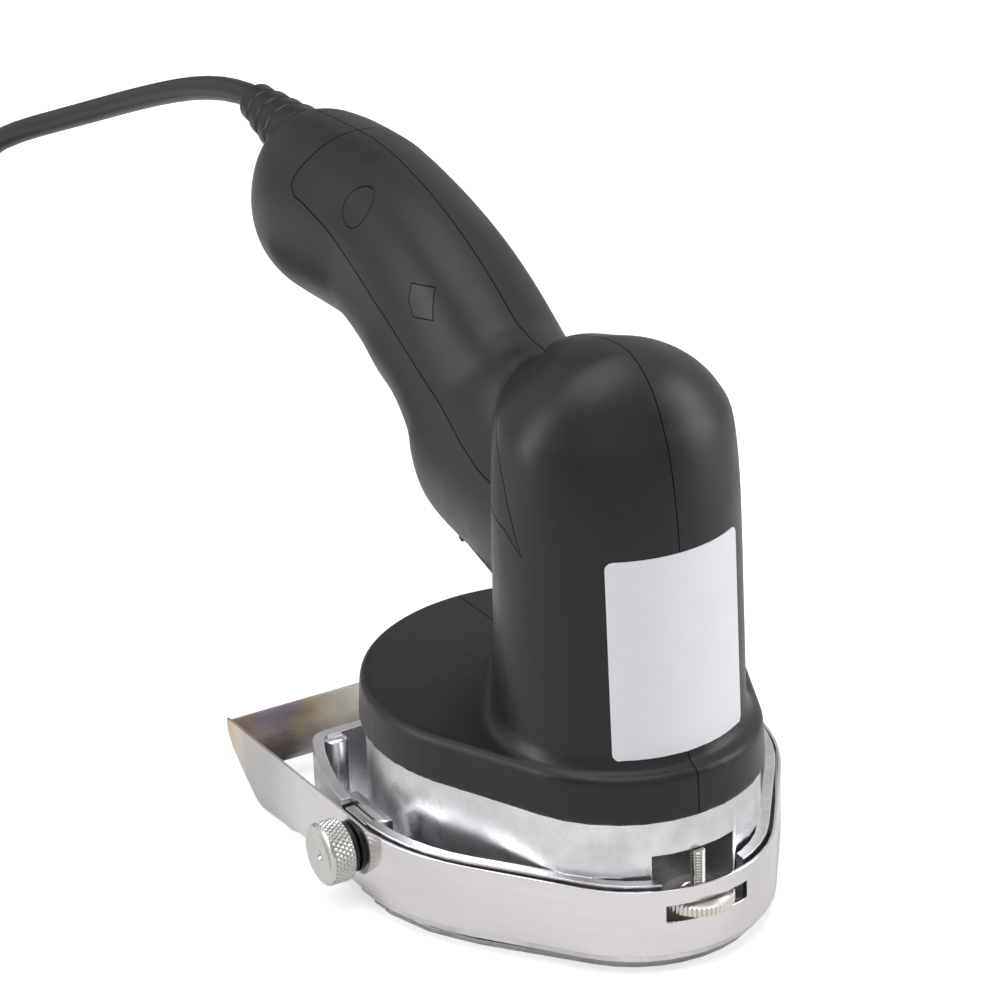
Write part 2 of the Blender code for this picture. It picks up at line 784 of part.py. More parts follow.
def handle_form(inset, skipping=1, steps=HANDLE_STEPS):
    """The handle, or the room inside it, as sections that fan out from the tower."""
    rings = []
    for top_x, top_z, foot_x, foot_z, width, narrowing in HANDLE_RUNG_SHARES[::skipping]:
        top = Vector((top_x * HANDLE_REACH, 0, top_z * HANDLE_HEIGHT))
        foot = Vector((foot_x * HANDLE_REACH, 0, foot_z * HANDLE_HEIGHT))
        centre = (top + foot) / 2
        up = (top - foot).normalized()
        half = (top - foot).length / 2 - inset
        wide = width * HANDLE_HALF_WIDTH - inset
        setting_back = inset * max(0, (centre.x / HANDLE_REACH - 0.8) / 0.2)
        ring = []
        for i in range(steps):
            angle = 2 * math.pi * i / steps
            across, along = math.cos(angle), math.sin(angle)
            across = math.copysign(abs(across) ** HANDLE_ROUNDNESS_SHARE, across)
            along = math.copysign(abs(along) ** HANDLE_ROUNDNESS_SHARE, along)
            point = centre + up * (half * along)
            side = -wide * across * (1 - narrowing * (1 + along) / 2)
            ring.append((point.x - setting_back, side, point.z))
        rings.append(ring)
    return loft("handle_form", rings)


# Side view of the grip's edge, as shares of the handle's reach and height: along the lower
# seam to the pointed tail on the tower, then up the lip of the tower and over the end arc
GRIP_EDGE_SHARES = [
    (0.714, 0.909),
    (0.687, 0.906),
    (0.642, 0.896),
    (0.587, 0.881),
    (0.509, 0.856),
    (0.428, 0.830),
    (0.347, 0.803),
    (0.268, 0.771),
    (0.191, 0.739),
    (0.125, 0.708),
    (0.053, 0.679),
    (-0.022, 0.659),
    (-0.103, 0.650),
    (-0.192, 0.648),
    (-0.243, 0.644),
    (-0.297, 0.617),
    (-0.268, 0.668),
    (-0.243, 0.713),
    (-0.214, 0.750),
    (-0.180, 0.777),
    (-0.135, 0.793),
    (-0.114, 0.809),
    (-0.104, 0.828),
    (-0.099, 0.848),
    (-0.096, 0.862),
    (-0.096, 1.050),
    (0.708, 1.050),
    (0.709, 0.987),
    (0.715, 0.970),
    (0.727, 0.950),
    (0.735, 0.934),
    (0.732, 0.921),
]
DIAMOND_PLUG_SHARES = [
    (0.291, 0.868),
    (0.236, 0.870),
    (0.205, 0.828),
    (0.258, 0.824),
    (0.282, 0.844),
]
ROUND_PLUG_RADIUS = 0.0052


def side_view(shares, growth=0.0):
    """Turn shares of the handle's reach and height into points, grown outward a little."""
    points = [Vector((x * HANDLE_REACH, z * HANDLE_HEIGHT)) for x, z in shares]
    if not growth:
        return [tuple(point) for point in points]
    area = sum(a.x * b.y - b.x * a.y for a, b in zip(points, points[1:] + points[:1]))
    grown = []
    for before, point, after in zip(points[-1:] + points, points, points[1:] + points[:1]):
        ahead = (after - point).normalized()
        behind = (point - before).normalized()
        out = Vector((ahead.y + behind.y, -ahead.x - behind.x))
        out = out.normalized() * growth * math.copysign(1, area)
        grown.append(tuple(point + out))
    return grown


def outer_form(inset):
    form = join(cover_form(inset), tower_form(inset))
    return join(form, handle_form(inset))


def mirrored(thing, name):
    """A copy on the other side of the middle plane."""
    made = copy_of(thing, name)
    made.data.transform(Matrix.Scale(-1, 4, (0, 1, 0)))
    made.data.flip_normals()
    return made


def side_box(name, side, low, high):
    """A box on one side of the middle plane, whose near and far Y are given as distances."""
    near, far = sorted((side * low[1], side * high[1]))
    return box(name, (low[0], near, low[2]), (high[0], far, high[2]))


def side_rod(name, radius, side, near, far, x, z, sides=20):
    """A cylinder along Y on one side of the middle plane."""
    right, left = sorted((side * near, side * far))
    return cross_rod(name, radius, right, left, x, z, sides)


# Frames of the slanted switch and of the boot, whose own X runs out along the cord
SWITCH_FRAME = Matrix.Translation((SWITCH_X, 0, SWITCH_Z)) @ Matrix.Rotation(-SWITCH_TILT, 4, "Y")
BOOT_FRAME = Matrix.Translation((BOOT_START, 0, BOOT_HEIGHT)) @ Matrix.Rotation(-BOOT_TILT, 4, "Y")
UPRIGHT_TO_X = Matrix.Rotation(math.radians(90), 4, "Y")

plate_top = PLATE_FOOT + PLATE_THICKNESS

# Half of the shells: the outer form less the bed of the grip and the room inside
left_half = box(
    "left_half",
    (-HALF_SPAN * 2, PARTING_GAP / 2, 0),
    (HANDLE_REACH + OVERRUN, HALF_SPAN, HANDLE_HEIGHT + OVERRUN),
)
room = join(cover_form(SHELL_WALL, COVER_FOOT - OVERRUN), tower_form(SHELL_WALL, THICK_WALL, 2, 6, 10))
room = join(room, handle_form(THICK_WALL, 3, 12))
bed = outer_form(GRIP_THICKNESS + SEAT_GAP)
skin = outer_form(0)
grip_prism = side_slab("grip_prism", side_view(GRIP_EDGE_SHARES), HALF_SPAN, -HALF_SPAN)
pocket_prism = side_slab("pocket_prism", side_view(GRIP_EDGE_SHARES, GRIP_SEAM), HALF_SPAN, -HALF_SPAN)
grip = common(copy_of(skin, "grip"), grip_prism)
grip = common(cut(grip, outer_form(GRIP_THICKNESS)), left_half, keep=True)

# Openings for the boot and the switch, joined to the room inside
tunnel = turned("tunnel", [
    (0, BOOT_LENGTH),
    (BOOT_RADIUS + SEAT_GAP, BOOT_LENGTH),
    (BOOT_RADIUS + SEAT_GAP, 0),
    (BOOT_NECK_RADIUS + SEAT_GAP, 0),
    (BOOT_NECK_RADIUS + SEAT_GAP, -BOOT_FLANGE_START + SEAT_GAP),
    (BOOT_FLANGE_RADIUS + SEAT_GAP, -BOOT_FLANGE_START + SEAT_GAP),
    (BOOT_FLANGE_RADIUS + SEAT_GAP, -BOOT_FLANGE_END - SEAT_GAP),
    (0, -BOOT_FLANGE_END - SEAT_GAP),
], 18)
room = join(room, move(tunnel, BOOT_FRAME @ UPRIGHT_TO_X))
body = box(
    "body",
    (-SWITCH_BODY_LENGTH / 2 - SEAT_GAP, -SWITCH_BODY_WIDTH / 2 - SEAT_GAP, 0),
    (SWITCH_BODY_LENGTH / 2 + SEAT_GAP, SWITCH_BODY_WIDTH / 2 + SEAT_GAP, SWITCH_BODY_DEPTH),
)
rebate = box(
    "rebate",
    (-SWITCH_LENGTH / 2 - SEAT_GAP, -SWITCH_WIDTH / 2 - SEAT_GAP, -OVERRUN),
    (SWITCH_LENGTH / 2 + SEAT_GAP, SWITCH_WIDTH / 2 + SEAT_GAP, SWITCH_SINK + SEAT_GAP),
)
room = join(room, move(join(rebate, body), SWITCH_FRAME))
half = cut(cut(skin, cut(pocket_prism, bed)), room)
half = common(half, left_half)

# Bosses for the screws along Y and for the cover screws, and the block of the cord clamp
deep_skin = outer_form(THICK_WALL - SHELL_BOSS_BITE)
wall_skin = outer_form(SHELL_WALL - SHELL_BOSS_BITE)
for x, z in SHELL_SCREWS:
    limit = deep_skin if z > COVER_TOP * 2 else wall_skin
    boss = side_rod("boss", SHELL_BOSS_RADIUS, 1, PARTING_GAP / 2, HALF_SPAN, x, z, 10)
    half = join(half, common(boss, limit, keep=True))
x, y = COVER_POSTS[0]
boss = rod("boss", SHELL_BOSS_RADIUS, plate_top + SHELL_FOOT_GAP, COVER_BOSS_TOP, x, y, 10)
boss = common(boss, wall_skin, keep=True)
half = join(half, boss)
half = cut(half, rod("bore", LONG_SCREW_RADIUS + SEAT_GAP, 0, COVER_BOSS_TOP - SHELL_WALL, x, y, 8))
block = side_box(
    "block",
    1,
    (CLAMP_START, CLAMP_BLOCK_NEAR, SEAT_GAP),
    (CLAMP_START + CLAMP_LENGTH, CLAMP_BLOCK_FAR, CLAMP_BLOCK_RISE),
)
middle = CLAMP_START + CLAMP_LENGTH / 2
bore = rod("bore", SCREW_RADIUS + SEAT_GAP, -CLAMP_THICKNESS, CLAMP_BORE_DEPTH, middle, CLAMP_SCREW_Y, 8)
block = cut(common(move(block, BOOT_FRAME), deep_skin, keep=True), move(bore, BOOT_FRAME))
half = join(half, block)

# The right shell has blind holes for the screws, the left one clear holes and head seats
right_shell = mirrored(half, "right_shell")
left_shell = half
for x, z in SHELL_SCREWS:
    hole = side_rod("hole", SCREW_RADIUS + SEAT_GAP, -1, -OVERRUN, SHELL_SCREW_DEPTH, x, z, 8)
    right_shell = cut(right_shell, hole)
    hole = side_rod("hole", SCREW_RADIUS + SEAT_GAP, 1, -OVERRUN, HALF_SPAN, x, z, 8)
    seat = side_rod(
        "seat", SCREW_HEAD_RADIUS + SEAT_GAP, 1, SHELL_SCREW_SEAT, HALF_SPAN + OVERRUN, x, z, 12
    )
    left_shell = cut(left_shell, join(hole, seat))
for share in BOARD_POST_SHARES:
    x = BOARD_LOW[0] + share * (BOARD_HIGH[0] - BOARD_LOW[0])
    z = BOARD_LOW[2] + share * (BOARD_HIGH[2] - BOARD_LOW[2])
    near = BOARD_HIGH[1] + SEAT_GAP
    post = side_rod("post", BOARD_POST_RADIUS, 1, near, HALF_SPAN, x, z, 8)
    left_shell = join(left_shell, common(post, deep_skin, keep=True))
place(left_shell, "left_shell", BLACK_PLASTIC)
place(right_shell, "right_shell", BLACK_PLASTIC)
for helper in (deep_skin, wall_skin):
    bpy.data.objects.remove(helper, do_unlink=True)

# Grips, and the two screw plugs let into the left one
place(mirrored(grip, "right_grip"), "right_grip", SOFT_PLASTIC)
plug_x, plug_z = SHELL_SCREWS[1]
for i, (hole, plug) in enumerate([
    (side_view(DIAMOND_PLUG_SHARES, GRIP_SEAM), side_view(DIAMOND_PLUG_SHARES)),
    (circle(ROUND_PLUG_RADIUS, plug_x, plug_z, 20),
     circle(ROUND_PLUG_RADIUS - GRIP_SEAM, plug_x, plug_z, 20)),
]):
    piece = common(copy_of(grip, "plug"), side_slab("plug_prism", plug, HALF_SPAN, 0))
    grip = cut(grip, side_slab("hole", hole, HALF_SPAN, 0))
    place(piece, f"screw_plug_{i + 1}", SOFT_PLASTIC)
place(grip, "left_grip", SOFT_PLASTIC)


def screw(name, radius, head_radius, head_height, length, countersunk=False):
    """A screw pointing up, whose head ends at zero and whose tip is at its length."""
    head = [(head_radius, -head_height), (radius, 0)]
    if not countersunk:
        head = [(head_radius, -head_height), (head_radius, 0), (radius, 0)]
    tip = [(radius, length), (0, length)]
    return turned(name, [(0, -head_height)] + head + tip, 8)


def screw_set(name, screws, look):
    """Several screws, numbered from one."""
    for i, made in enumerate(screws):
        place(made, f"{name}_{i + 1}", look)


# Casting
def skirt_outline(inset, front=0.0):
    """Plan of the casting's skirt: a round rear, slightly bowed sides and a straight front."""
    front_x = (front or TRAY_FRONT) - inset
    side_radius = SKIRT_SIDE_RADIUS - inset
    side_y = SKIRT_FRONT_RADIUS - SKIRT_SIDE_RADIUS
    corner = max(TRAY_CORNER - inset, RIM_ROUND)
    reach = math.sqrt((side_radius - corner) ** 2 - (front_x - corner) ** 2)
    lean = math.degrees(math.atan2(reach, front_x - corner))
    front_radius = SKIRT_FRONT_RADIUS - inset
    rear_radius = SKIRT_REAR_RADIUS - inset
    turn = math.degrees(math.acos((rear_radius - front_radius) / REAR_SET_BACK))
    left = arc(front_x - corner, side_y + reach, corner, 0, lean, 4)
    left += arc(0, side_y, side_radius, lean, 90, 6)[1:]
    left += arc(0, 0, front_radius, 90, turn, 6)[1:]
    rear = arc(-REAR_SET_BACK, 0, rear_radius, turn, 360 - turn, 12)
    right = [(x, -y) for x, y in reversed(left)]
    return left + rear + right


def skirt_form(inset, low, high):
    return slab("skirt_form", [skirt_outline(inset)], low, high)


def cup_form(inset, low, high):
    outline = egg(CUP_FRONT_RADIUS - inset, CUP_REAR_RADIUS - inset, MOTOR_SET_BACK, 18, 12)
    return slab("cup_form", [outline], low, high)


FLOOR_TOP = FLOOR_UNDERSIDE + FLOOR_THICKNESS
casting = slab("casting", [skirt_outline(0), skirt_outline(SKIRT_WALL)], SKIRT_FOOT, SKIRT_TOP)
casting = cut(casting, box(
    "front",
    (RIM_ROUND, -HALF_SPAN * 2, -OVERRUN),
    (HALF_SPAN * 2, HALF_SPAN * 2, FLOOR_UNDERSIDE - RIM_ROUND / 2),
))
casting = join(casting, slab("floor", [skirt_outline(SKIRT_WALL / 2)], FLOOR_UNDERSIDE, FLOOR_TOP))
casting = join(casting, cup_form(0, FLOOR_TOP - FLOOR_THICKNESS / 4, CUP_SHOULDER))
casting = join(casting, cup_form(CUP_STEP, CUP_SHOULDER - OVERRUN, SPIGOT_TOP))
casting = cut(casting, cup_form(CUP_WALL, FLOOR_TOP + RUNNING_GAP / 2, SPIGOT_TOP + OVERRUN))

# Bosses, posts and the adjuster's pocket, added inside the cup
for radius, low, high, places in [
    (POST_RADIUS, FLOOR_TOP - FLOOR_THICKNESS / 2, SPIGOT_TOP - SEAT_GAP / 2, PLATE_POSTS + COVER_POSTS),
    (COVER_FOOT_BOSS_RADIUS, FLOOR_UNDERSIDE + FLOOR_THICKNESS / 3, COVER_FOOT_BOSS_TOP, COVER_POSTS),
]:
    for x, y in places:
        post = common(
            rod("post", radius, low, high, x, y, 10), cup_form(CUP_WALL / 2, 0, SPIGOT_TOP + OVERRUN)
        )
        casting = join(casting, post)
for x, y in SHOE_POSTS:
    post = rod(
        "post",
        SHOE_BOSS_RADIUS,
        SHOE_THICKNESS + SEAT_GAP,
        FLOOR_UNDERSIDE + FLOOR_THICKNESS / 4,
        x,
        y,
        12,
    )
    casting = join(casting, common(post, skirt_form(SKIRT_WALL / 2, 0, SKIRT_TOP)))
casting = join(
    casting,
    rod("boss", BEARING_BOSS_RADIUS, FLOOR_UNDERSIDE - FLOOR_BOSS_DROP, BEARING_BOSS_TOP, sides=20),
)
pocket = box(
    "pocket",
    (
        -REAR_SET_BACK - SKIRT_REAR_RADIUS + SKIRT_WALL / 2,
        -WINDOW_HALF_WIDTH - POCKET_WALL,
        FLOOR_UNDERSIDE + FLOOR_THICKNESS / 5,
    ),
    (POCKET_FRONT + POCKET_WALL, WINDOW_HALF_WIDTH + POCKET_WALL, POCKET_HEIGHT),
)
casting = join(casting, common(pocket, cup_form(CUP_WALL / 2, 0, SPIGOT_TOP)))

# Bores and openings of the casting
bore = turned("bore", [
    (0, -OVERRUN),
    (HUB_ROOM_RADIUS, -OVERRUN),
    (HUB_ROOM_RADIUS, HUB_ROOM_TOP),
    (BEARING_LIP_RADIUS, HUB_ROOM_TOP),
    (BEARING_LIP_RADIUS, LOWER_BEARING_FOOT - SEAT_GAP),
    (BEARING_RADIUS + SEAT_GAP, LOWER_BEARING_FOOT - SEAT_GAP),
    (BEARING_RADIUS + SEAT_GAP, BEARING_BOSS_TOP + OVERRUN),
    (0, BEARING_BOSS_TOP + OVERRUN),
], 20)
casting = cut(casting, bore)
for x, y in PLATE_POSTS:
    casting = cut(
        casting,
        rod(
            "bore",
            SCREW_RADIUS + SEAT_GAP,
            SPIGOT_TOP - PLATE_SCREW_LENGTH,
            SPIGOT_TOP + OVERRUN,
            x,
            y,
            8,
        ),
    )
for x, y in COVER_POSTS:
    bore = join(
        rod("bore", LONG_SCREW_RADIUS + SEAT_GAP, 0, SPIGOT_TOP + OVERRUN, x, y, 8),
        rod("seat", LONG_SCREW_HEAD_RADIUS + SEAT_GAP, -OVERRUN, FLOOR_TOP + SEAT_GAP, x, y, 12),
    )
    casting = cut(casting, bore)
for x, y in SHOE_POSTS:
    casting = cut(
        casting, rod("bore", SHOE_SCREW_RADIUS + SEAT_GAP, -OVERRUN, SHOE_SCREW_LENGTH, x, y, 8)
    )
window = box(
    "window",
    (-HALF_SPAN * 2, -WINDOW_HALF_WIDTH, FLOOR_TOP + RUNNING_GAP),
    (POCKET_FRONT, WINDOW_HALF_WIDTH, WINDOW_TOP),
)
casting = cut(casting, window)
casting = cut(casting, rod("bore", STUD_RADIUS + SEAT_GAP, STUD_FOOT - SEAT_GAP, WHEEL_Z, STUD_X, 0, 12))

# The notches at both pivots, where the skirt's wall is jogged inward behind a nut plate
for side in (1, -1):
    outer = SKIRT_FRONT_RADIUS
    wall = side_box(
        "wall",
        side,
        (
            PIVOT_X - RECESS_WIDTH / 2 - RECESS_WALL,
            outer - RECESS_DEPTH - RECESS_WALL,
            FLOOR_TOP - FLOOR_THICKNESS / 3,
        ),
        (PIVOT_X + RECESS_WIDTH / 2 + RECESS_WALL, outer - SKIRT_WALL / 2, SKIRT_TOP - SEAT_GAP),
    )
    casting = join(casting, wall)
    notch = side_box(
        "notch",
        side,
        (PIVOT_X - RECESS_WIDTH / 2, outer - RECESS_DEPTH, NOTCH_FOOT),
        (PIVOT_X + RECESS_WIDTH / 2, outer + OVERRUN, SKIRT_TOP + OVERRUN),
    )
    casting = cut(casting, notch)
    corner = rod(
        "corner",
        CORNER_BOSS_RADIUS,
        FLOOR_TOP - FLOOR_THICKNESS / 3,
        SKIRT_TOP - RIM_ROUND,
        CORNER_BOSS_X,
        side * CORNER_BOSS_Y,
        12,
    )
    casting = join(casting, common(corner, skirt_form(SKIRT_WALL / 2, 0, SKIRT_TOP)))
place(casting, "gear_housing", CAST_METAL)

# Gear plate with its bearing boss
plate_outline = egg(
    CUP_FRONT_RADIUS - CUP_STEP - PLATE_INSET,
    CUP_REAR_RADIUS - CUP_STEP - PLATE_INSET,
    MOTOR_SET_BACK,
    16,
    10,
)
plate = slab("plate", [plate_outline], PLATE_FOOT, PLATE_FOOT + PLATE_THICKNESS)
plate = join(plate, rod("boss", PLATE_BOSS_RADIUS, PLATE_BOSS_FOOT, PLATE_BOSS_TOP, sides=20))
plate = cut(plate, turned("bore", [
    (0, 0),
    (BEARING_RADIUS + SEAT_GAP, 0),
    (BEARING_RADIUS + SEAT_GAP, UPPER_BEARING_FOOT + BEARING_WIDTH + SEAT_GAP),
    (CLIP_RADIUS + RUNNING_GAP, UPPER_BEARING_FOOT + BEARING_WIDTH + SEAT_GAP),
    (CLIP_RADIUS + RUNNING_GAP, SPINDLE_TOP + OVERRUN),
    (0, SPINDLE_TOP + OVERRUN),
], 20))
for x, y in PLATE_POSTS:
    seat = turned("seat", [
        (0, 0),
        (SCREW_RADIUS + SEAT_GAP, 0),
        (SCREW_RADIUS + SEAT_GAP, plate_top - SCREW_HEAD_HEIGHT - SEAT_GAP),
        (SCREW_HEAD_RADIUS + SEAT_GAP, plate_top - SCREW_HEAD_HEIGHT * 0.3),
        (SCREW_HEAD_RADIUS + SEAT_GAP, plate_top + OVERRUN),
        (0, plate_top + OVERRUN),
    ], 8, x, y)
    plate = cut(plate, seat)
for x, y in COVER_POSTS:
    plate = cut(plate, rod("bore", LONG_SCREW_RADIUS + SEAT_GAP, 0, plate_top + OVERRUN, x, y, 8))
plate = cut(plate, rod("bore", MOTOR_HOLE_RADIUS, 0, plate_top + OVERRUN, -GEAR_CENTRES, 0, 16))
for side in (1, -1):
    plate = cut(
        plate,
        rod(
            "bore",
            SCREW_RADIUS + SEAT_GAP,
            0,
            plate_top + OVERRUN,
            -GEAR_CENTRES,
            side * MOTOR_SCREW_CIRCLE,
            8,
        ),
    )
place(plate, "gear_plate", CAST_METAL)

# Screws
def upside_down(made, x, y, top):
    return move(made, Matrix.Translation((x, y, top)) @ Matrix.Rotation(math.pi, 4, "X"))


screw_set("plate_screw", [
    upside_down(
        screw(
            "screw",
            SCREW_RADIUS,
            SCREW_HEAD_RADIUS,
            SCREW_HEAD_HEIGHT,
            PLATE_SCREW_LENGTH - OVERRUN / 2,
            True,
        ),
        x, y, plate_top - SCREW_HEAD_HEIGHT,
    ) for x, y in PLATE_POSTS
], TURNED_STEEL)
screw_set("cover_screw", [
    move(
        screw(
            "screw",
            LONG_SCREW_RADIUS,
            LONG_SCREW_HEAD_RADIUS,
            COVER_HEAD_HEIGHT,
            COVER_BOSS_TOP - SHELL_WALL * 2 - FLOOR_TOP,
        ),
        Matrix.Translation((x, y, FLOOR_TOP)),
    ) for x, y in COVER_POSTS
], TURNED_STEEL)
screw_set("shell_screw", [
    move(
        screw(
            "screw",
            SCREW_RADIUS,
            SCREW_HEAD_RADIUS,
            SCREW_HEAD_HEIGHT,
            SHELL_SCREW_SEAT + SHELL_SCREW_DEPTH - SEAT_GAP * 4,
        ),
        Matrix.Translation((x, SHELL_SCREW_SEAT + SEAT_GAP, z)) @ Matrix.Rotation(
            math.radians(90), 4, "X"
        ),
    ) for x, z in SHELL_SCREWS
], TURNED_STEEL)


# Shoe plate: a flat crescent around the rear of the blade
shoe = slab("shoe", [egg(SHOE_FRONT_RADIUS, SHOE_REAR_RADIUS, REAR_SET_BACK, 18, 10)], 0, SHOE_THICKNESS)
shoe = cut(shoe, rod("bore", BLADE_RADIUS + SHOE_BLADE_GAP, -OVERRUN, OVERRUN, sides=36))
shoe = cut(
    shoe,
    box("front", (SHOE_END, -HALF_SPAN * 2, -OVERRUN / 2), (HALF_SPAN * 2, HALF_SPAN * 2, OVERRUN / 2)),
)
for x, y in SHOE_POSTS:
    seat = turned("seat", [
        (0, -OVERRUN),
        (SHOE_SCREW_HEAD + SEAT_GAP, -OVERRUN),
        (SHOE_SCREW_HEAD + SEAT_GAP, SHOE_THICKNESS * 0.3),
        (SHOE_SCREW_RADIUS + SEAT_GAP, SHOE_THICKNESS * 0.9),
        (SHOE_SCREW_RADIUS + SEAT_GAP, OVERRUN),
        (0, OVERRUN),
    ], 8, x, y)
    shoe = cut(shoe, seat)
place(shoe, "shoe_plate", BLADE_STEEL)
screw_set("shoe_screw", [
    move(
        screw(
            "screw",
            SHOE_SCREW_RADIUS,
            SHOE_SCREW_HEAD,
            SHOE_THICKNESS * 0.7,
            SHOE_SCREW_LENGTH - SHOE_THICKNESS - SEAT_GAP,
            True,
        ),
        Matrix.Translation((x, y, SHOE_THICKNESS * 0.9)),
    ) for x, y in SHOE_POSTS
], TURNED_STEEL)

# Cutter: blade, hub, nut, spindle, clip, bearings and gear on the blade's axis
dish_top = BLADE_LIFT + BLADE_DISH_DEPTH + BLADE_THICKNESS
blade = turned("blade", [
    (SPINDLE_THREAD_RADIUS + SEAT_GAP, dish_top - BLADE_THICKNESS),
    (BLADE_DISH_RADIUS, dish_top - BLADE_THICKNESS),
    (BLADE_DISH_RADIUS + BLADE_DISH_SLOPE, BLADE_LIFT),
    (BLADE_RADIUS, BLADE_LIFT),
    (BLADE_RADIUS - BLADE_BEVEL, BLADE_LIFT + BLADE_THICKNESS),
    (BLADE_DISH_RADIUS + BLADE_DISH_SLOPE, BLADE_LIFT + BLADE_THICKNESS),
    (BLADE_DISH_RADIUS, dish_top),
    (SPINDLE_THREAD_RADIUS + SEAT_GAP, dish_top),
    (SPINDLE_THREAD_RADIUS + SEAT_GAP, dish_top - BLADE_THICKNESS),
], 36)
place(blade, "blade", BLADE_STEEL)

hub_foot = dish_top + SEAT_GAP
hub = turned("hub", [
    (SPINDLE_THREAD_RADIUS + SEAT_GAP, hub_foot),
    (HUB_RADIUS, hub_foot),
    (HUB_RADIUS, hub_foot + HUB_HEIGHT),
    (HUB_COLLAR_RADIUS, hub_foot + HUB_HEIGHT),
    (HUB_COLLAR_RADIUS, HUB_COLLAR_TOP),
    (SPINDLE_RADIUS + SEAT_GAP, HUB_COLLAR_TOP),
    (SPINDLE_RADIUS + SEAT_GAP, hub_foot + HUB_HEIGHT),
    (SPINDLE_THREAD_RADIUS + SEAT_GAP, hub_foot + HUB_HEIGHT),
    (SPINDLE_THREAD_RADIUS + SEAT_GAP, hub_foot),
], 18)
place(hub, "blade_flange", TURNED_STEEL)

nut_top = dish_top - BLADE_THICKNESS - SEAT_GAP
nut = slab("nut", [
    circle(BLADE_NUT_FLATS / math.sqrt(3), steps=6),
    circle(SPINDLE_THREAD_RADIUS + SEAT_GAP, steps=16),
], nut_top - BLADE_NUT_HEIGHT, nut_top)
place(nut, "blade_nut", TURNED_STEEL)

shoulder = hub_foot + HUB_HEIGHT + SEAT_GAP
clip_top = CLIP_FOOT + CLIP_THICKNESS
spindle = turned("spindle", [
    (0, nut_top - BLADE_NUT_HEIGHT),
    (SPINDLE_THREAD_RADIUS, nut_top - BLADE_NUT_HEIGHT),
    (SPINDLE_THREAD_RADIUS, shoulder),
    (SPINDLE_RADIUS, shoulder),
    (SPINDLE_RADIUS, CLIP_FOOT - SEAT_GAP / 2),
    (CLIP_GROOVE_RADIUS, CLIP_FOOT - SEAT_GAP / 2),
    (CLIP_GROOVE_RADIUS, clip_top + SEAT_GAP / 2),
    (SPINDLE_RADIUS, clip_top + SEAT_GAP / 2),
    (SPINDLE_RADIUS, SPINDLE_TOP),
    (0, SPINDLE_TOP),
], 16)
place(spindle, "spindle", TURNED_STEEL)


def ring(name, inner, outer, low, high, steps, x=0, y=0):
    return turned(
        name, [(inner, low), (outer, low), (outer, high), (inner, high), (inner, low)], steps, x, y
    )


def open_clip(name, inner, outer, low, high):
    """A retaining clip, open on one side."""
    made = ring(name, inner, outer, low, high, 16)
    gap = box("gap", (0, -inner * 0.55, low - OVERRUN), (outer * 2, inner * 0.55, high + OVERRUN))
    return cut(made, gap)


clip = open_clip("clip", CLIP_GROOVE_RADIUS + SEAT_GAP / 2, CLIP_RADIUS, CLIP_FOOT, clip_top)
place(clip, "spindle_clip", GEAR_STEEL)
for name, low in (("lower_bearing", LOWER_BEARING_FOOT), ("upper_bearing", UPPER_BEARING_FOOT)):
    bearing = ring(name, SPINDLE_RADIUS + SEAT_GAP / 2, BEARING_RADIUS, low, low + BEARING_WIDTH, 20)
    place(bearing, name, TURNED_STEEL)


def gear_outline(teeth, gap_first):
    """Plan of a spur gear with straight-sided teeth, starting on a gap or on a tooth."""
    pitch = GEAR_MODULE * teeth / 2
    top = pitch + GEAR_MODULE * TOOTH_TOP_SHARE
    root = pitch - GEAR_MODULE * TOOTH_ROOT_SHARE
    tooth = 2 * math.pi / teeth
    outline = []
    for i in range(teeth):
        middle = i * tooth + (tooth / 2 if gap_first else 0)
        for radius, share in (
            (root, -TOOTH_FOOT_WIDTH_SHARE / 2),
            (top, -TOOTH_TIP_WIDTH_SHARE / 2),
            (top, TOOTH_TIP_WIDTH_SHARE / 2),
            (root, TOOTH_FOOT_WIDTH_SHARE / 2),
        ):
            angle = middle + share * tooth
            outline.append((radius * math.cos(angle), radius * math.sin(angle)))
    return outline


gear = slab(
    "gear",
    [gear_outline(GEAR_TEETH, True), circle(SPINDLE_RADIUS + SEAT_GAP * 2, steps=16)],
    GEAR_FOOT,
    GEAR_FOOT + GEAR_WIDTH,
)
hub_ring = ring(
    "hub_ring",
    SPINDLE_RADIUS + SEAT_GAP,
    GEAR_HUB_RADIUS,
    GEAR_FOOT - GEAR_HUB_HEIGHT,
    GEAR_FOOT + GEAR_WIDTH + GEAR_HUB_HEIGHT / 2,
    16,
)
place(join(gear, hub_ring), "drive_gear", GEAR_STEEL)
pinion = slab(
    "pinion",
    [gear_outline(PINION_TEETH, False), circle(MOTOR_SHAFT_RADIUS + SEAT_GAP, steps=12)],
    GEAR_FOOT + PINION_INSET,
    GEAR_FOOT + GEAR_WIDTH - PINION_INSET,
)
move(pinion, Matrix.Translation((-GEAR_CENTRES, 0, 0)))
place(pinion, "motor_pinion", BRASS, (-GEAR_CENTRES, 0, 0))

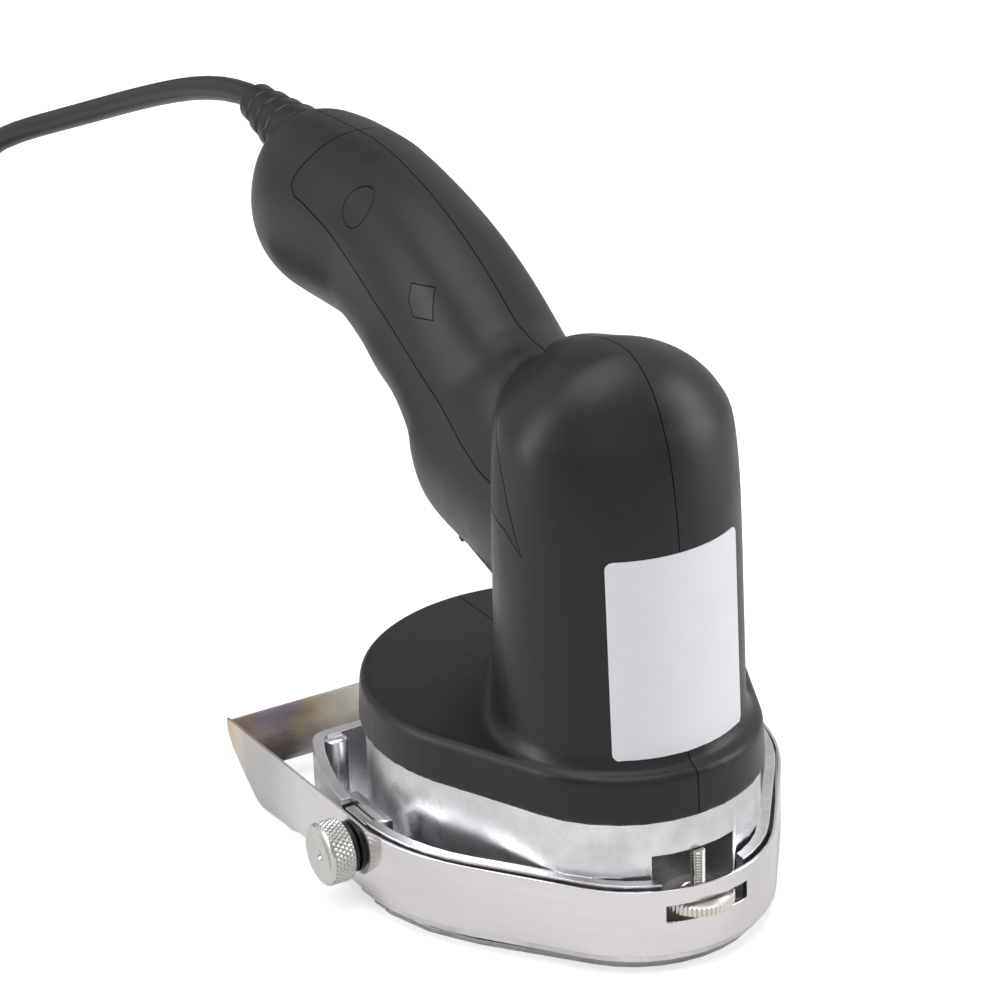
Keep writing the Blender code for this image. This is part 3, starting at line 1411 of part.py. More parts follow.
# Motor
motor_top = MOTOR_FOOT + MOTOR_HEIGHT
can = turned("can", [
    (MOTOR_BEARING_RADIUS + SEAT_GAP, MOTOR_FOOT),
    (MOTOR_RADIUS - MOTOR_WALL, MOTOR_FOOT),
    (MOTOR_RADIUS, MOTOR_FOOT + MOTOR_WALL),
    (MOTOR_RADIUS, motor_top),
    (MOTOR_RADIUS - MOTOR_WALL, motor_top),
    (MOTOR_RADIUS - MOTOR_WALL, MOTOR_FOOT + MOTOR_WALL),
    (MOTOR_BEARING_RADIUS + MOTOR_WALL, MOTOR_FOOT + MOTOR_WALL),
    (MOTOR_BEARING_RADIUS + MOTOR_WALL, MOTOR_FOOT + MOTOR_WALL + MOTOR_BEARING_WIDTH),
    (MOTOR_BEARING_RADIUS + SEAT_GAP, MOTOR_FOOT + MOTOR_WALL + MOTOR_BEARING_WIDTH),
    (MOTOR_BEARING_RADIUS + SEAT_GAP, MOTOR_FOOT),
], 20, -GEAR_CENTRES)
for side in (1, -1):
    can = cut(
        can,
        rod(
            "bore",
            SCREW_RADIUS + SEAT_GAP,
            0,
            MOTOR_FOOT + OVERRUN,
            -GEAR_CENTRES,
            side * MOTOR_SCREW_CIRCLE,
            8,
        ),
    )
place(can, "motor_can", MOTOR_STEEL)

lining = MOTOR_RADIUS - MOTOR_WALL - SEAT_GAP * 2
for name, side in (("front_magnet", 0), ("rear_magnet", 180)):
    start, end = side - math.degrees(MAGNET_HALF_ANGLE), side + math.degrees(MAGNET_HALF_ANGLE)
    outline = arc(0, 0, lining, start, end, 8) + arc(0, 0, lining - MAGNET_THICKNESS, end, start, 8)
    magnet = slab("magnet", [outline], MOTOR_FOOT + MAGNET_SET_BACK, motor_top - MAGNET_SET_BACK * 2)
    place(move(magnet, Matrix.Translation((-GEAR_CENTRES, 0, 0))), name, MAGNET_FERRITE)

cap = turned("cap", [
    (MOTOR_BEARING_RADIUS + SEAT_GAP, motor_top + SEAT_GAP - MOTOR_BEARING_WIDTH),
    (MOTOR_BEARING_RADIUS + MOTOR_WALL, motor_top + SEAT_GAP - MOTOR_BEARING_WIDTH),
    (MOTOR_BEARING_RADIUS + MOTOR_WALL, motor_top + SEAT_GAP),
    (MOTOR_RADIUS, motor_top + SEAT_GAP),
    (MOTOR_RADIUS, motor_top + SEAT_GAP + END_CAP_THICKNESS),
    (MOTOR_BEARING_RADIUS - MOTOR_WALL, motor_top + SEAT_GAP + END_CAP_THICKNESS),
    (MOTOR_BEARING_RADIUS - MOTOR_WALL, motor_top + SEAT_GAP + END_CAP_THICKNESS / 2),
    (MOTOR_BEARING_RADIUS + SEAT_GAP, motor_top + SEAT_GAP + END_CAP_THICKNESS / 2),
    (MOTOR_BEARING_RADIUS + SEAT_GAP, motor_top + SEAT_GAP - MOTOR_BEARING_WIDTH),
], 20, -GEAR_CENTRES)
armature_low = MOTOR_FOOT + ARMATURE_SET_BACK
armature_high = armature_low + ARMATURE_LENGTH
commutator_low = armature_high + WINDING_RISE + SEAT_GAP
for side in (1, -1):
    cap = join(cap, side_box(
        "brush",
        side,
        (
            -GEAR_CENTRES - BRUSH_WIDTH / 2,
            COMMUTATOR_RADIUS + RUNNING_GAP,
            commutator_low + BRUSH_WIDTH / 2,
        ),
        (-GEAR_CENTRES + BRUSH_WIDTH / 2, lining - BRUSH_WIDTH / 2, motor_top + END_CAP_THICKNESS / 2),
    ))
place(cap, "motor_end_cap", SOFT_PLASTIC)

low_bearing = MOTOR_FOOT + SEAT_GAP
high_bearing = motor_top + END_CAP_THICKNESS / 2 - MOTOR_BEARING_WIDTH
for name, low in (("motor_lower_bearing", low_bearing), ("motor_upper_bearing", high_bearing)):
    bearing = ring(
        name,
        MOTOR_SHAFT_RADIUS + SEAT_GAP / 2,
        MOTOR_BEARING_RADIUS,
        low,
        low + MOTOR_BEARING_WIDTH,
        16,
        -GEAR_CENTRES,
    )
    place(bearing, name, BRASS)

winding_radius = ARMATURE_RADIUS * WINDING_SHARE
rotor = turned("rotor", [
    (0, GEAR_FOOT - RUNNING_GAP),
    (MOTOR_SHAFT_RADIUS, GEAR_FOOT - RUNNING_GAP),
    (MOTOR_SHAFT_RADIUS, armature_low - WINDING_RISE),
    (winding_radius, armature_low - WINDING_RISE),
    (winding_radius, armature_low),
    (ARMATURE_RADIUS, armature_low),
    (ARMATURE_RADIUS, armature_high),
    (winding_radius, armature_high),
    (winding_radius, armature_high + WINDING_RISE - SEAT_GAP),
    (MOTOR_SHAFT_RADIUS, armature_high + WINDING_RISE - SEAT_GAP),
    (MOTOR_SHAFT_RADIUS, commutator_low),
    (COMMUTATOR_RADIUS, commutator_low),
    (COMMUTATOR_RADIUS, commutator_low + COMMUTATOR_LENGTH),
    (MOTOR_SHAFT_RADIUS, commutator_low + COMMUTATOR_LENGTH),
    (MOTOR_SHAFT_RADIUS, motor_top + END_CAP_THICKNESS / 2 + SEAT_GAP),
    (0, motor_top + END_CAP_THICKNESS / 2 + SEAT_GAP),
], 14)
for i in range(ARMATURE_SLOTS):
    slot = box(
        "slot",
        (ARMATURE_RADIUS * ARMATURE_SLOT_SHARE, -ARMATURE_SLOT_WIDTH / 2, armature_low - OVERRUN / 4),
        (ARMATURE_RADIUS * 2, ARMATURE_SLOT_WIDTH / 2, armature_high + OVERRUN / 4),
    )
    move(slot, Matrix.Rotation(2 * math.pi * (i + 0.5) / ARMATURE_SLOTS, 4, "Z"))
    rotor = cut(rotor, slot)
move(rotor, Matrix.Translation((-GEAR_CENTRES, 0, 0)))
place(rotor, "motor_rotor", MOTOR_STEEL, (-GEAR_CENTRES, 0, 0))

screw_set("motor_screw", [
    move(
        screw(
            "screw", SCREW_RADIUS, SCREW_HEAD_RADIUS, SCREW_HEAD_HEIGHT, PLATE_THICKNESS + MOTOR_WALL * 2
        ),
        Matrix.Translation((-GEAR_CENTRES, side * MOTOR_SCREW_CIRCLE, PLATE_FOOT - SEAT_GAP)),
    ) for side in (1, -1)
], TURNED_STEEL)

# Guard: a bent sheet of a rear band, two side cheeks and a slanted front wall
def guard_outline(inset, front_x):
    """Plan of the guard's sheet: a round rear, then straight arms to the front."""
    front_radius = BAND_FRONT_RADIUS - inset
    rear_radius = BAND_REAR_RADIUS - inset
    turn = math.degrees(math.acos((rear_radius - front_radius) / REAR_SET_BACK))
    lean = math.degrees(math.atan2(CHEEK_FRONT, BAND_FRONT_RADIUS - CHEEK_HALF_WIDTH))
    end_y = (front_radius - front_x * math.cos(math.radians(lean))) / math.sin(math.radians(lean))
    left = [(front_x, end_y)] + arc(0, 0, front_radius, lean, turn, 8)
    return left + arc(-REAR_SET_BACK, 0, rear_radius, turn, 360 - turn, 14) + [
        (x, -y) for x, y in reversed(left)
    ]


sheet = slab("sheet", [guard_outline(0, CHEEK_FRONT + OVERRUN)], -OVERRUN, SKIRT_TOP + OVERRUN)
sheet = cut(
    sheet,
    slab(
        "inner",
        [guard_outline(GUARD_SHEET, CHEEK_FRONT + OVERRUN * 2)],
        -OVERRUN * 2,
        SKIRT_TOP + OVERRUN * 2,
    ),
)
profile = [(x * CHEEK_FRONT, z * BAND_TOP) for x, z in CHEEK_EDGE_SHARES]
sheet = common(sheet, side_slab("profile", profile, HALF_SPAN * 2, -HALF_SPAN * 2))
wall = side_slab("wall", [
    (CHEEK_FRONT - GUARD_SHEET * 2, CHEEK_TOP - SEAT_GAP),
    (LIP_X - GUARD_SHEET, LIP_HEIGHT + SEAT_GAP * 2),
    (LIP_X, LIP_HEIGHT),
    (CHEEK_FRONT - GUARD_SHEET / 2, CHEEK_TOP - SEAT_GAP * 2),
], HALF_SPAN * 2, -HALF_SPAN * 2)
wall = common(
    wall,
    slab("width", [guard_outline(GUARD_SHEET / 2, CHEEK_FRONT + OVERRUN)], -OVERRUN, SKIRT_TOP + OVERRUN),
)
guard = join(sheet, wall)
guard = cut(
    guard, cross_rod("hole", GUARD_HOLE_RADIUS, -HALF_SPAN * 2, HALF_SPAN * 2, PIVOT_X, PIVOT_Z, 16)
)
slot = box(
    "slot", (-HALF_SPAN * 2, -SLOT_HALF_WIDTH, SLOT_BOTTOM), (-HALF_SPAN, SLOT_HALF_WIDTH, SLOT_TOP)
)
guard = cut(guard, slot)
place(guard, "guard", SHEET_STEEL, (PIVOT_X, 0, PIVOT_Z))

# Pivot screws, washers and nut plates
sheet_y = BAND_FRONT_RADIUS + SEAT_GAP
for side, prefix, washer_radius, knob_radius, knob_width in (
    (1, "left", WASHER_RADIUS, KNOB_RADIUS, KNOB_WIDTH),
    (-1, "right", FAR_WASHER_RADIUS, FAR_HEAD_RADIUS, FAR_HEAD_WIDTH),
):
    sideways = Matrix.Translation((PIVOT_X, 0, PIVOT_Z)) @ Matrix.Rotation(
        math.radians(-90) * side, 4, "X"
    )
    washer = ring(
        "washer", THUMB_SHANK_RADIUS + SEAT_GAP, washer_radius, sheet_y, sheet_y + WASHER_THICKNESS, 16
    )
    place(move(washer, sideways), prefix + "_washer", SOFT_PLASTIC, (PIVOT_X, side * sheet_y, PIVOT_Z))
    knob_low = sheet_y + WASHER_THICKNESS + SEAT_GAP
    knob = turned("knob", [
        (0, SKIRT_FRONT_RADIUS - RECESS_DEPTH + SEAT_GAP),
        (THUMB_SHANK_RADIUS, SKIRT_FRONT_RADIUS - RECESS_DEPTH + SEAT_GAP),
        (THUMB_SHANK_RADIUS, knob_low),
        (knob_radius - KNOB_CHAMFER, knob_low),
        (knob_radius, knob_low + KNOB_CHAMFER),
        (knob_radius, knob_low + knob_width - KNOB_CHAMFER),
        (knob_radius - KNOB_CHAMFER, knob_low + knob_width),
        (0, knob_low + knob_width),
    ], 24)
    place(move(knob, sideways), prefix + "_thumbscrew", TURNED_STEEL, (PIVOT_X, side * knob_low, PIVOT_Z))
    plate_y = SKIRT_FRONT_RADIUS - RECESS_DEPTH + SEAT_GAP
    nut_plate = side_box(
        "nut_plate",
        side,
        (PIVOT_X - NUT_PLATE_WIDTH / 2, plate_y, NOTCH_FOOT + SEAT_GAP),
        (
            PIVOT_X + NUT_PLATE_WIDTH / 2,
            plate_y + NUT_PLATE_THICKNESS,
            NOTCH_FOOT + SEAT_GAP + NUT_PLATE_WIDTH,
        ),
    )
    bore = side_rod("bore", THUMB_SHANK_RADIUS + SEAT_GAP, side, 0, HALF_SPAN * 2, PIVOT_X, PIVOT_Z, 12)
    place(cut(nut_plate, bore), prefix + "_guard_nut", TURNED_STEEL)

# Adjuster: a fixed stud and the wheel that runs along it in the guard's slot
stud = rod("stud", STUD_RADIUS, STUD_FOOT, STUD_TOP, STUD_X, 0, 12)
place(stud, "adjuster_stud", TURNED_STEEL)
wheel = slab("wheel", [
    circle(WHEEL_RADIUS, steps=32),
    circle(STUD_RADIUS + WHEEL_BORE_GAP, steps=12),
], WHEEL_Z - WHEEL_WIDTH / 2, WHEEL_Z + WHEEL_WIDTH / 2)
move(wheel, Matrix.Translation((STUD_X, 0, 0)))
place(wheel, "adjuster_wheel", TURNED_STEEL, (STUD_X, 0, WHEEL_Z))

# Switch and its rocker
flange = box(
    "flange",
    (-SWITCH_LENGTH / 2, -SWITCH_WIDTH / 2, SWITCH_SINK - SWITCH_FLANGE),
    (SWITCH_LENGTH / 2, SWITCH_WIDTH / 2, SWITCH_SINK),
)
switch = join(flange, box(
    "switch",
    (-SWITCH_BODY_LENGTH / 2, -SWITCH_BODY_WIDTH / 2, 0),
    (SWITCH_BODY_LENGTH / 2, SWITCH_BODY_WIDTH / 2, SWITCH_BODY_DEPTH - SEAT_GAP),
))
switch = cut(switch, box(
    "cavity",
    (-ROCKER_LENGTH / 2 - ROCKER_SWEEP, -ROCKER_WIDTH / 2 - RUNNING_GAP, -OVERRUN),
    (ROCKER_LENGTH / 2 + ROCKER_SWEEP, ROCKER_WIDTH / 2 + RUNNING_GAP, ROCKER_ROOM),
))
for share in TAB_SHARES:
    x = share * SWITCH_BODY_LENGTH / 2
    switch = join(switch, box(
        "tab",
        (x - TAB_THICKNESS / 2, -TAB_WIDTH / 2, SWITCH_BODY_DEPTH - OVERRUN / 2),
        (x + TAB_THICKNESS / 2, TAB_WIDTH / 2, SWITCH_BODY_DEPTH + TAB_LENGTH),
    ))
place(move(switch, SWITCH_FRAME), "switch_body", SOFT_PLASTIC)
rocker = side_slab("rocker", [
    (x * ROCKER_LENGTH / 2, z * ROCKER_RISE) for x, z in ROCKER_EDGE_SHARES
], ROCKER_WIDTH / 2, -ROCKER_WIDTH / 2)
pivot = SWITCH_FRAME @ Vector((0, 0, ROCKER_PIVOT_DEPTH))
place(move(rocker, SWITCH_FRAME), "switch_rocker", GLOSSY_PLASTIC, pivot)

# Control board with its parts
board = box("board", BOARD_LOW, BOARD_HIGH)
for low, high in BOARD_PART_SHARES:
    corners = []
    for share in (low, high):
        corners.append([
            BOARD_LOW[0] + share[0] * (BOARD_HIGH[0] - BOARD_LOW[0]),
            BOARD_LOW[1] - share[1] * BOARD_PART_HEIGHT,
            BOARD_LOW[2] + share[2] * (BOARD_HIGH[2] - BOARD_LOW[2]),
        ])
    near, far = sorted((corners[0][1], corners[1][1]))
    board = join(
        board, box("chip", (corners[0][0], near, corners[0][2]), (corners[1][0], far, corners[1][2]))
    )
place(board, "control_board", BOARD_GREEN)

# Boot, cord clamp and its screws, on the boot's own axis
boot_outline = [
    (CORD_RADIUS + SEAT_GAP, -BOOT_FLANGE_END),
    (BOOT_FLANGE_RADIUS, -BOOT_FLANGE_END),
    (BOOT_FLANGE_RADIUS, -BOOT_FLANGE_START),
    (BOOT_NECK_RADIUS, -BOOT_FLANGE_START),
    (BOOT_NECK_RADIUS, SEAT_GAP),
    (BOOT_RADIUS, SEAT_GAP),
]
for i in range(BOOT_RINGS):
    start = SEAT_GAP + BOOT_LENGTH * BOOT_RING_START_SHARES[i]
    end = BOOT_LENGTH * BOOT_RING_END_SHARES[i]
    radius = BOOT_RADIUS + (BOOT_TIP_RADIUS - BOOT_RADIUS) * BOOT_RING_TAPER_SHARES[i]
    if i:
        boot_outline.append((radius, start))
    boot_outline.append((radius, end))
    if i < BOOT_RINGS - 1:
        boot_outline.append((radius - BOOT_GROOVE, end))
        boot_outline.append(
            (radius - BOOT_GROOVE, SEAT_GAP + BOOT_LENGTH * BOOT_RING_START_SHARES[i + 1])
        )
boot_outline.append((CORD_RADIUS + SEAT_GAP, boot_outline[-1][1]))
boot_outline.append(boot_outline[0])
boot = turned("boot", boot_outline, 12)
place(move(boot, BOOT_FRAME @ UPRIGHT_TO_X), "strain_relief", CORD_PLASTIC)
clamp = box(
    "clamp",
    (CLAMP_START, -CLAMP_WIDTH / 2, -CORD_RADIUS - SEAT_GAP - CLAMP_THICKNESS),
    (CLAMP_START + CLAMP_LENGTH, CLAMP_WIDTH / 2, -CORD_RADIUS - SEAT_GAP),
)
clamp_screws = []
middle = CLAMP_START + CLAMP_LENGTH / 2
head_z = -CORD_RADIUS - CLAMP_THICKNESS - SEAT_GAP * 2
for side in (1, -1):
    y = side * CLAMP_SCREW_Y
    clamp = cut(clamp, rod("bore", SCREW_RADIUS + SEAT_GAP, -HALF_SPAN, 0, middle, y, 8))
    clamp_screws.append(move(
        screw(
            "screw",
            SCREW_RADIUS,
            SCREW_HEAD_RADIUS,
            SCREW_HEAD_HEIGHT,
            CLAMP_BORE_DEPTH - head_z - SEAT_GAP * 2,
        ),
        BOOT_FRAME @ Matrix.Translation((middle, y, head_z)),
    ))
place(move(clamp, BOOT_FRAME), "cord_clamp", SOFT_PLASTIC)
screw_set("clamp_screw", clamp_screws, TURNED_STEEL)


# Cord, coil and plug
def smooth_route(points, spacing):
    """Even points along a smooth curve through the given ones."""
    fine = []
    ends = [points[0] * 2 - points[1]] + points + [points[-1] * 2 - points[-2]]
    for before, start, end, after in zip(ends, ends[1:], ends[2:], ends[3:]):
        for i in range(ROUTE_STEPS):
            t = i / ROUTE_STEPS
            fine.append(
                (start * 2 + (end - before) * t
                 + (before * 2 - start * 5 + end * 4 - after) * t ** 2
                 + (start * 3 - before - end * 3 + after) * t ** 3) / 2
            )
    fine.append(points[-1])
    lengths = numpy.cumsum([0] + [(b - a).length for a, b in zip(fine, fine[1:])])
    count = max(2, round(lengths[-1] / spacing))
    even = []
    for wanted in numpy.linspace(0, lengths[-1], count + 1):
        i = min(int(numpy.searchsorted(lengths, wanted, side="right")) - 1, len(fine) - 2)
        share = (wanted - lengths[i]) / max(lengths[i + 1] - lengths[i], WELD / 100)
        even.append(fine[i].lerp(fine[i + 1], min(share, 1)))
    return even


def tube(name, points, radius, roundness):
    """A round tube along a line of points."""
    curve = bpy.data.curves.new(name, "CURVE")
    curve.dimensions = "3D"
    curve.bevel_depth = radius
    curve.bevel_resolution = roundness
    curve.use_fill_caps = True
    spline = curve.splines.new("POLY")
    spline.points.add(len(points) - 1)
    for target, point in zip(spline.points, points):
        target.co = (*point, 1)
    guide = bpy.data.objects.new(name, curve)
    cutters.objects.link(guide)
    bpy.context.view_layer.update()
    mesh = evaluated_mesh(guide)
    bpy.data.objects.remove(guide, do_unlink=True)
    return solid(name, mesh)


def coil_points():
    """Spirals in and out by turns in four layers, from the top one down to the floor."""
    all_turns = COIL_QUARTER_TURNS / 4
    steps = round(all_turns * COIL_STEPS)
    per_layer = all_turns / COIL_LAYERS
    points = []
    for i in range(steps + 1):
        turns = i / COIL_STEPS
        layer = turns / per_layer
        swing = abs(layer % 2 - 1)
        radius = COIL_INNER + COIL_PITCH_IN * per_layer * swing
        height = COIL_LAYERS - 1
        for reversal in range(1, COIL_LAYERS):
            climb = (turns - reversal * per_layer) / COIL_CLIMB_SHARE + 0.5
            climb = min(1, max(0, climb))
            height -= climb ** 2 * (3 - 2 * climb)
        angle = 2 * math.pi * turns
        points.append(Vector((
            COIL_X + radius * math.cos(angle),
            COIL_Y + radius * math.sin(angle),
            CORD_RADIUS + height * COIL_PITCH,
        )))
    return points


def least_self_gap(points, radius):
    """The smallest clear distance between stretches of a tube that are not neighbours."""
    places = numpy.array(points)
    lengths = numpy.concatenate(
        [[0], numpy.cumsum(numpy.linalg.norm(numpy.diff(places, axis=0), axis=1))]
    )
    middles = (places[1:] + places[:-1]) / 2
    samples = numpy.concatenate([places, middles])
    along = numpy.concatenate([lengths, (lengths[1:] + lengths[:-1]) / 2])
    apart = numpy.linalg.norm(samples[:, None] - samples[None, :], axis=2)
    apart[numpy.abs(along[:, None] - along[None, :]) < radius * 8] = 1
    return apart.min() - 2 * radius


boot_end = boot_outline[-2][1]
start_x = CLAMP_START - CORD_TAIL
inside_x = (start_x, CLAMP_START, 0, boot_end / 2, boot_end, boot_end + CORD_RADIUS)
inside = [BOOT_FRAME @ Vector((x, 0, 0)) for x in inside_x]
coil_line = coil_points()
heading = Vector((0, 1, 0))
coil_line.insert(0, coil_line[0] - heading * CORD_RADIUS * 2)
cord_end = coil_line[0] - heading * SEAT_GAP
approach = cord_end - heading * CORD_RADIUS * 2
mouth = BOOT_FRAME.translation
falling = [mouth + Vector(point) for point in CORD_ROUTE]
route = smooth_route(inside + falling + [approach], CORD_SPACING)
route.append(cord_end)
place(tube("cord", route, CORD_RADIUS, 2), "cord", CORD_PLASTIC)
tail = []
coil_end = coil_line[-1]
for i in range(1, TAIL_STEPS + 1):
    share = i / TAIL_STEPS
    rise = min(1, max(0, share / TAIL_RISE_SHARE))
    rise = rise ** 2 * (3 - 2 * rise)
    tail.append(Vector((
        coil_end.x - TAIL_LENGTH * share,
        coil_end.y,
        coil_end.z + (PLUG_THICKNESS / 2 - coil_end.z) * rise,
    )))
coil_line = coil_line + tail
print("least self gap of the coil in mm:", round(least_self_gap(coil_line, CORD_RADIUS) * 1000, 3))
free = sum((b - a).length for a, b in zip(route, route[1:]))
coiled = sum((b - a).length for a, b in zip(coil_line, coil_line[1:]))
print("cord lengths in m: free", round(free, 3), "coiled", round(coiled, 3))
place(tube("coil", coil_line, CORD_RADIUS, 1), "cord_coil", CORD_PLASTIC)

# Plug: a flat two-pin body lying on the floor
plug_x = tail[-1].x - SEAT_GAP
plug_y = tail[-1].y
plug_z = PLUG_THICKNESS / 2
plug_outline = [
    (plug_x - PLUG_NECK - share_x * PLUG_LENGTH, plug_y + share_y * PLUG_WIDTH / 2)
    for share_x, share_y in PLUG_EDGE_SHARES
]
plug = slab("plug", [plug_outline], 0, PLUG_THICKNESS)
plug = round_edges(plug, PLUG_ROUND, 1)
neck = rod("neck", PLUG_NECK_RADIUS, 0, PLUG_NECK + OVERRUN, sides=12)
neck = move(
    neck, Matrix.Translation((plug_x, plug_y, plug_z)) @ Matrix.Rotation(math.radians(-90), 4, "Y")
)
plug = join(plug, neck)
front_x = plug_x - PLUG_NECK - PLUG_LENGTH
for side in (1, -1):
    pin = turned("pin", [
        (0, -OVERRUN),
        (PIN_RADIUS, -OVERRUN),
        (PIN_RADIUS, PIN_LENGTH - PIN_RADIUS / 2),
        (PIN_RADIUS / 2, PIN_LENGTH),
        (0, PIN_LENGTH),
    ], 10)
    move(
        pin,
        Matrix.Translation((front_x, plug_y + side * PIN_SPACING / 2, plug_z)) @ Matrix.Rotation(
            math.radians(-90), 4, "Y"
        ),
    )
    plug = join(plug, pin)
place(plug, "plug_body", CORD_PLASTIC)
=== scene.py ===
# %% [markdown]
# # An electric kebab slicer
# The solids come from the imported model, already in place and in metres. Each cell below
# gives one piece its fine surface or its finish, the way it is on the real tool.

# %% Load the frame
import json
import math

import bmesh
import bpy
from mathutils import Matrix, Vector

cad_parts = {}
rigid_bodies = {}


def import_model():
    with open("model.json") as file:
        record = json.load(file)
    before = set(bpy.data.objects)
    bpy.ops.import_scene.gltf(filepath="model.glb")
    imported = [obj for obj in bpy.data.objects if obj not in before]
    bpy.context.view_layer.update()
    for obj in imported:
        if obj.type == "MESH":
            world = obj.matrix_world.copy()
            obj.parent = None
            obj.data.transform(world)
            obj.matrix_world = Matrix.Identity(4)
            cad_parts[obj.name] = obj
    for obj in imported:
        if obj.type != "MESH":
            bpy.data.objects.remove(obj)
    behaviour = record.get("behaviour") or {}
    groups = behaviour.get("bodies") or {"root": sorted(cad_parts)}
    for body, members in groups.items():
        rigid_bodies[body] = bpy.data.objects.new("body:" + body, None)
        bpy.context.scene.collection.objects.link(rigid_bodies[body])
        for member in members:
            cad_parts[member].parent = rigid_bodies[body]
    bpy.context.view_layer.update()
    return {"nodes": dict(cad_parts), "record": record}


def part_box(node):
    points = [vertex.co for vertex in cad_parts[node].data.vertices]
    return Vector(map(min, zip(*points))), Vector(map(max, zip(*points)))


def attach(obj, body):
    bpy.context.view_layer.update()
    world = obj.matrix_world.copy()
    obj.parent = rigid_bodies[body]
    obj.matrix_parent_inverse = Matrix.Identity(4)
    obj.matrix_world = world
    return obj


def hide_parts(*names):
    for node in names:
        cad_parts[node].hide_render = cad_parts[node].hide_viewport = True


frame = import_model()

nodes = frame["nodes"]
MM = 0.001
AXIS = 62 * MM

# %% [markdown]
# The camera comes first, because the cord is judged by what the camera sees of it. The
# photograph looks down on the tool from behind its left side with a long lens, so the
# place, the bearing, the height and a slight roll of the camera are given by angles.

# %% Camera
BEARING, HEIGHT_ANGLE, ROLL = math.radians(29.788), math.radians(24.379), math.radians(-1.771)
AIM = Vector((70.51, 9.07, 99.74)) * MM
DISTANCE = 1038.798 * MM
FOCAL_PIXELS, FRAME_PIXELS, SENSOR = 3993.456, 1001, 36.0

away = Vector((
    -math.cos(HEIGHT_ANGLE) * math.cos(BEARING),
    math.cos(HEIGHT_ANGLE) * math.sin(BEARING),
    math.sin(HEIGHT_ANGLE),
))
right = Vector((-math.sin(BEARING), -math.cos(BEARING), 0))
up = away.cross(right)
turned_right = right * math.cos(ROLL) + up * math.sin(ROLL)
turned_up = up * math.cos(ROLL) - right * math.sin(ROLL)
camera_data = bpy.data.cameras.new("camera")
camera_data.sensor_width = SENSOR
camera_data.lens = FOCAL_PIXELS / FRAME_PIXELS * SENSOR
camera = bpy.data.objects.new("camera", camera_data)
bpy.context.scene.collection.objects.link(camera)
turn = Matrix((turned_right, turned_up, away)).transposed().to_4x4()
camera.matrix_world = Matrix.Translation(AIM + away * DISTANCE) @ turn
bpy.context.scene.camera = camera
print("lens in mm:", round(camera_data.lens, 1))

# %% [markdown]
# Finishes are built from nodes. A sum of two sockets takes a Math node, so a small class
# wraps a socket and lets sums be written as Python expressions. Every other node comes
# from one method, which takes the node's type, its settings and what its sockets get.

# %% Tools for finishes
class Wire:
    """A socket's value, which can be used in sums."""

    def __init__(self, finish, socket):
        self.finish = finish
        self.socket = socket

    def sum(self, operation, *values):
        return self.finish.node("ShaderNodeMath", {"operation": operation}, dict(enumerate(values)))

    def root(self):
        return self.sum("SQRT", self)

    def sine(self):
        return self.sum("SINE", self)

    def __add__(self, other):
        return self.sum("ADD", self, other)

    def __sub__(self, other):
        return self.sum("SUBTRACT", self, other)

    def __rsub__(self, other):
        return self.sum("SUBTRACT", other, self)

    def __mul__(self, other):
        return self.sum("MULTIPLY", self, other)

    def __truediv__(self, other):
        return self.sum("DIVIDE", self, other)

    __radd__ = __add__
    __rmul__ = __mul__


class Finish:
    """A material, or the world, that is filled with nodes."""

    def __init__(self, name, owner=None):
        self.owner = owner or bpy.data.materials.new(name)
        self.owner.use_nodes = True
        self.tree = self.owner.node_tree
        self.tree.nodes.clear()

    def node(self, kind, settings=None, inputs=None, output=0):
        made = self.tree.nodes.new(kind)
        for name, value in (settings or {}).items():
            if name == "stops":
                ramp = made.color_ramp
                while len(ramp.elements) < len(value):
                    ramp.elements.new(1)
                for element, (position, colour) in zip(ramp.elements, value):
                    element.position = position
                    element.color = shade(colour)
            else:
                setattr(made, name, value)
        for name, value in (inputs or {}).items():
            if isinstance(value, Wire):
                self.tree.links.new(value.socket, made.inputs[name])
            else:
                made.inputs[name].default_value = value
        return Wire(self, made.outputs[output]) if made.outputs else None

    def place(self, scale=(1, 1, 1), turn=(0, 0, 0)):
        """Object coordinates, stretched and turned."""
        here = self.node("ShaderNodeTexCoord", output="Object")
        return self.node("ShaderNodeMapping", None, {"Vector": here, "Scale": scale, "Rotation": turn})

    def axes(self):
        """The three object coordinates as numbers, in mm."""
        here = self.place((1 / MM, 1 / MM, 1 / MM))
        return [self.node("ShaderNodeSeparateXYZ", None, {0: here}, output) for output in range(3)]

    def noise(self, size, detail=2.0, rough=0.5, stretch=(1, 1, 1), at=None):
        """Noise whose spots are about as large as the given size."""
        return self.node("ShaderNodeTexNoise", None, {
            "Vector": at or self.place(stretch), "Scale": 1 / size, "Detail": detail, "Roughness": rough})

    def ramp(self, value, *stops):
        return self.node("ShaderNodeValToRGB", {"stops": stops}, {"Fac": value})

    def mix(self, share, first, second):
        first, second = [value if isinstance(value, Wire) else shade(value) for value in (first, second)]
        return self.node("ShaderNodeMix", {"data_type": "RGBA"}, {0: share, 6: first, 7: second}, 2)

    def bump(self, height, depth):
        return self.node("ShaderNodeBump", None, {"Height": height, "Distance": depth, "Strength": 1.0})

    def surface(self, **inputs):
        named = {name.replace("_", " "): value for name, value in inputs.items()}
        return self.ends(self.node("ShaderNodeBsdfPrincipled", None, named))

    def ends(self, shader):
        world = isinstance(self.owner, bpy.types.World)
        self.node("ShaderNodeOutputWorld" if world else "ShaderNodeOutputMaterial", None, {"Surface": shader})
        return self.owner


def shade(colour):
    """A grey level or a colour, as a ramp and a mix take it."""
    return (*colour, 1) if hasattr(colour, "__len__") else (colour, colour, colour, 1)


# %% [markdown]
# The housing is moulded in black nylon with a fine spark-eroded grain, a little shinier
# where it is handled. A fine noise makes the grain, a cloudy one the sheen, and a sparse
# one the pale specks of dust that black plastic always carries.

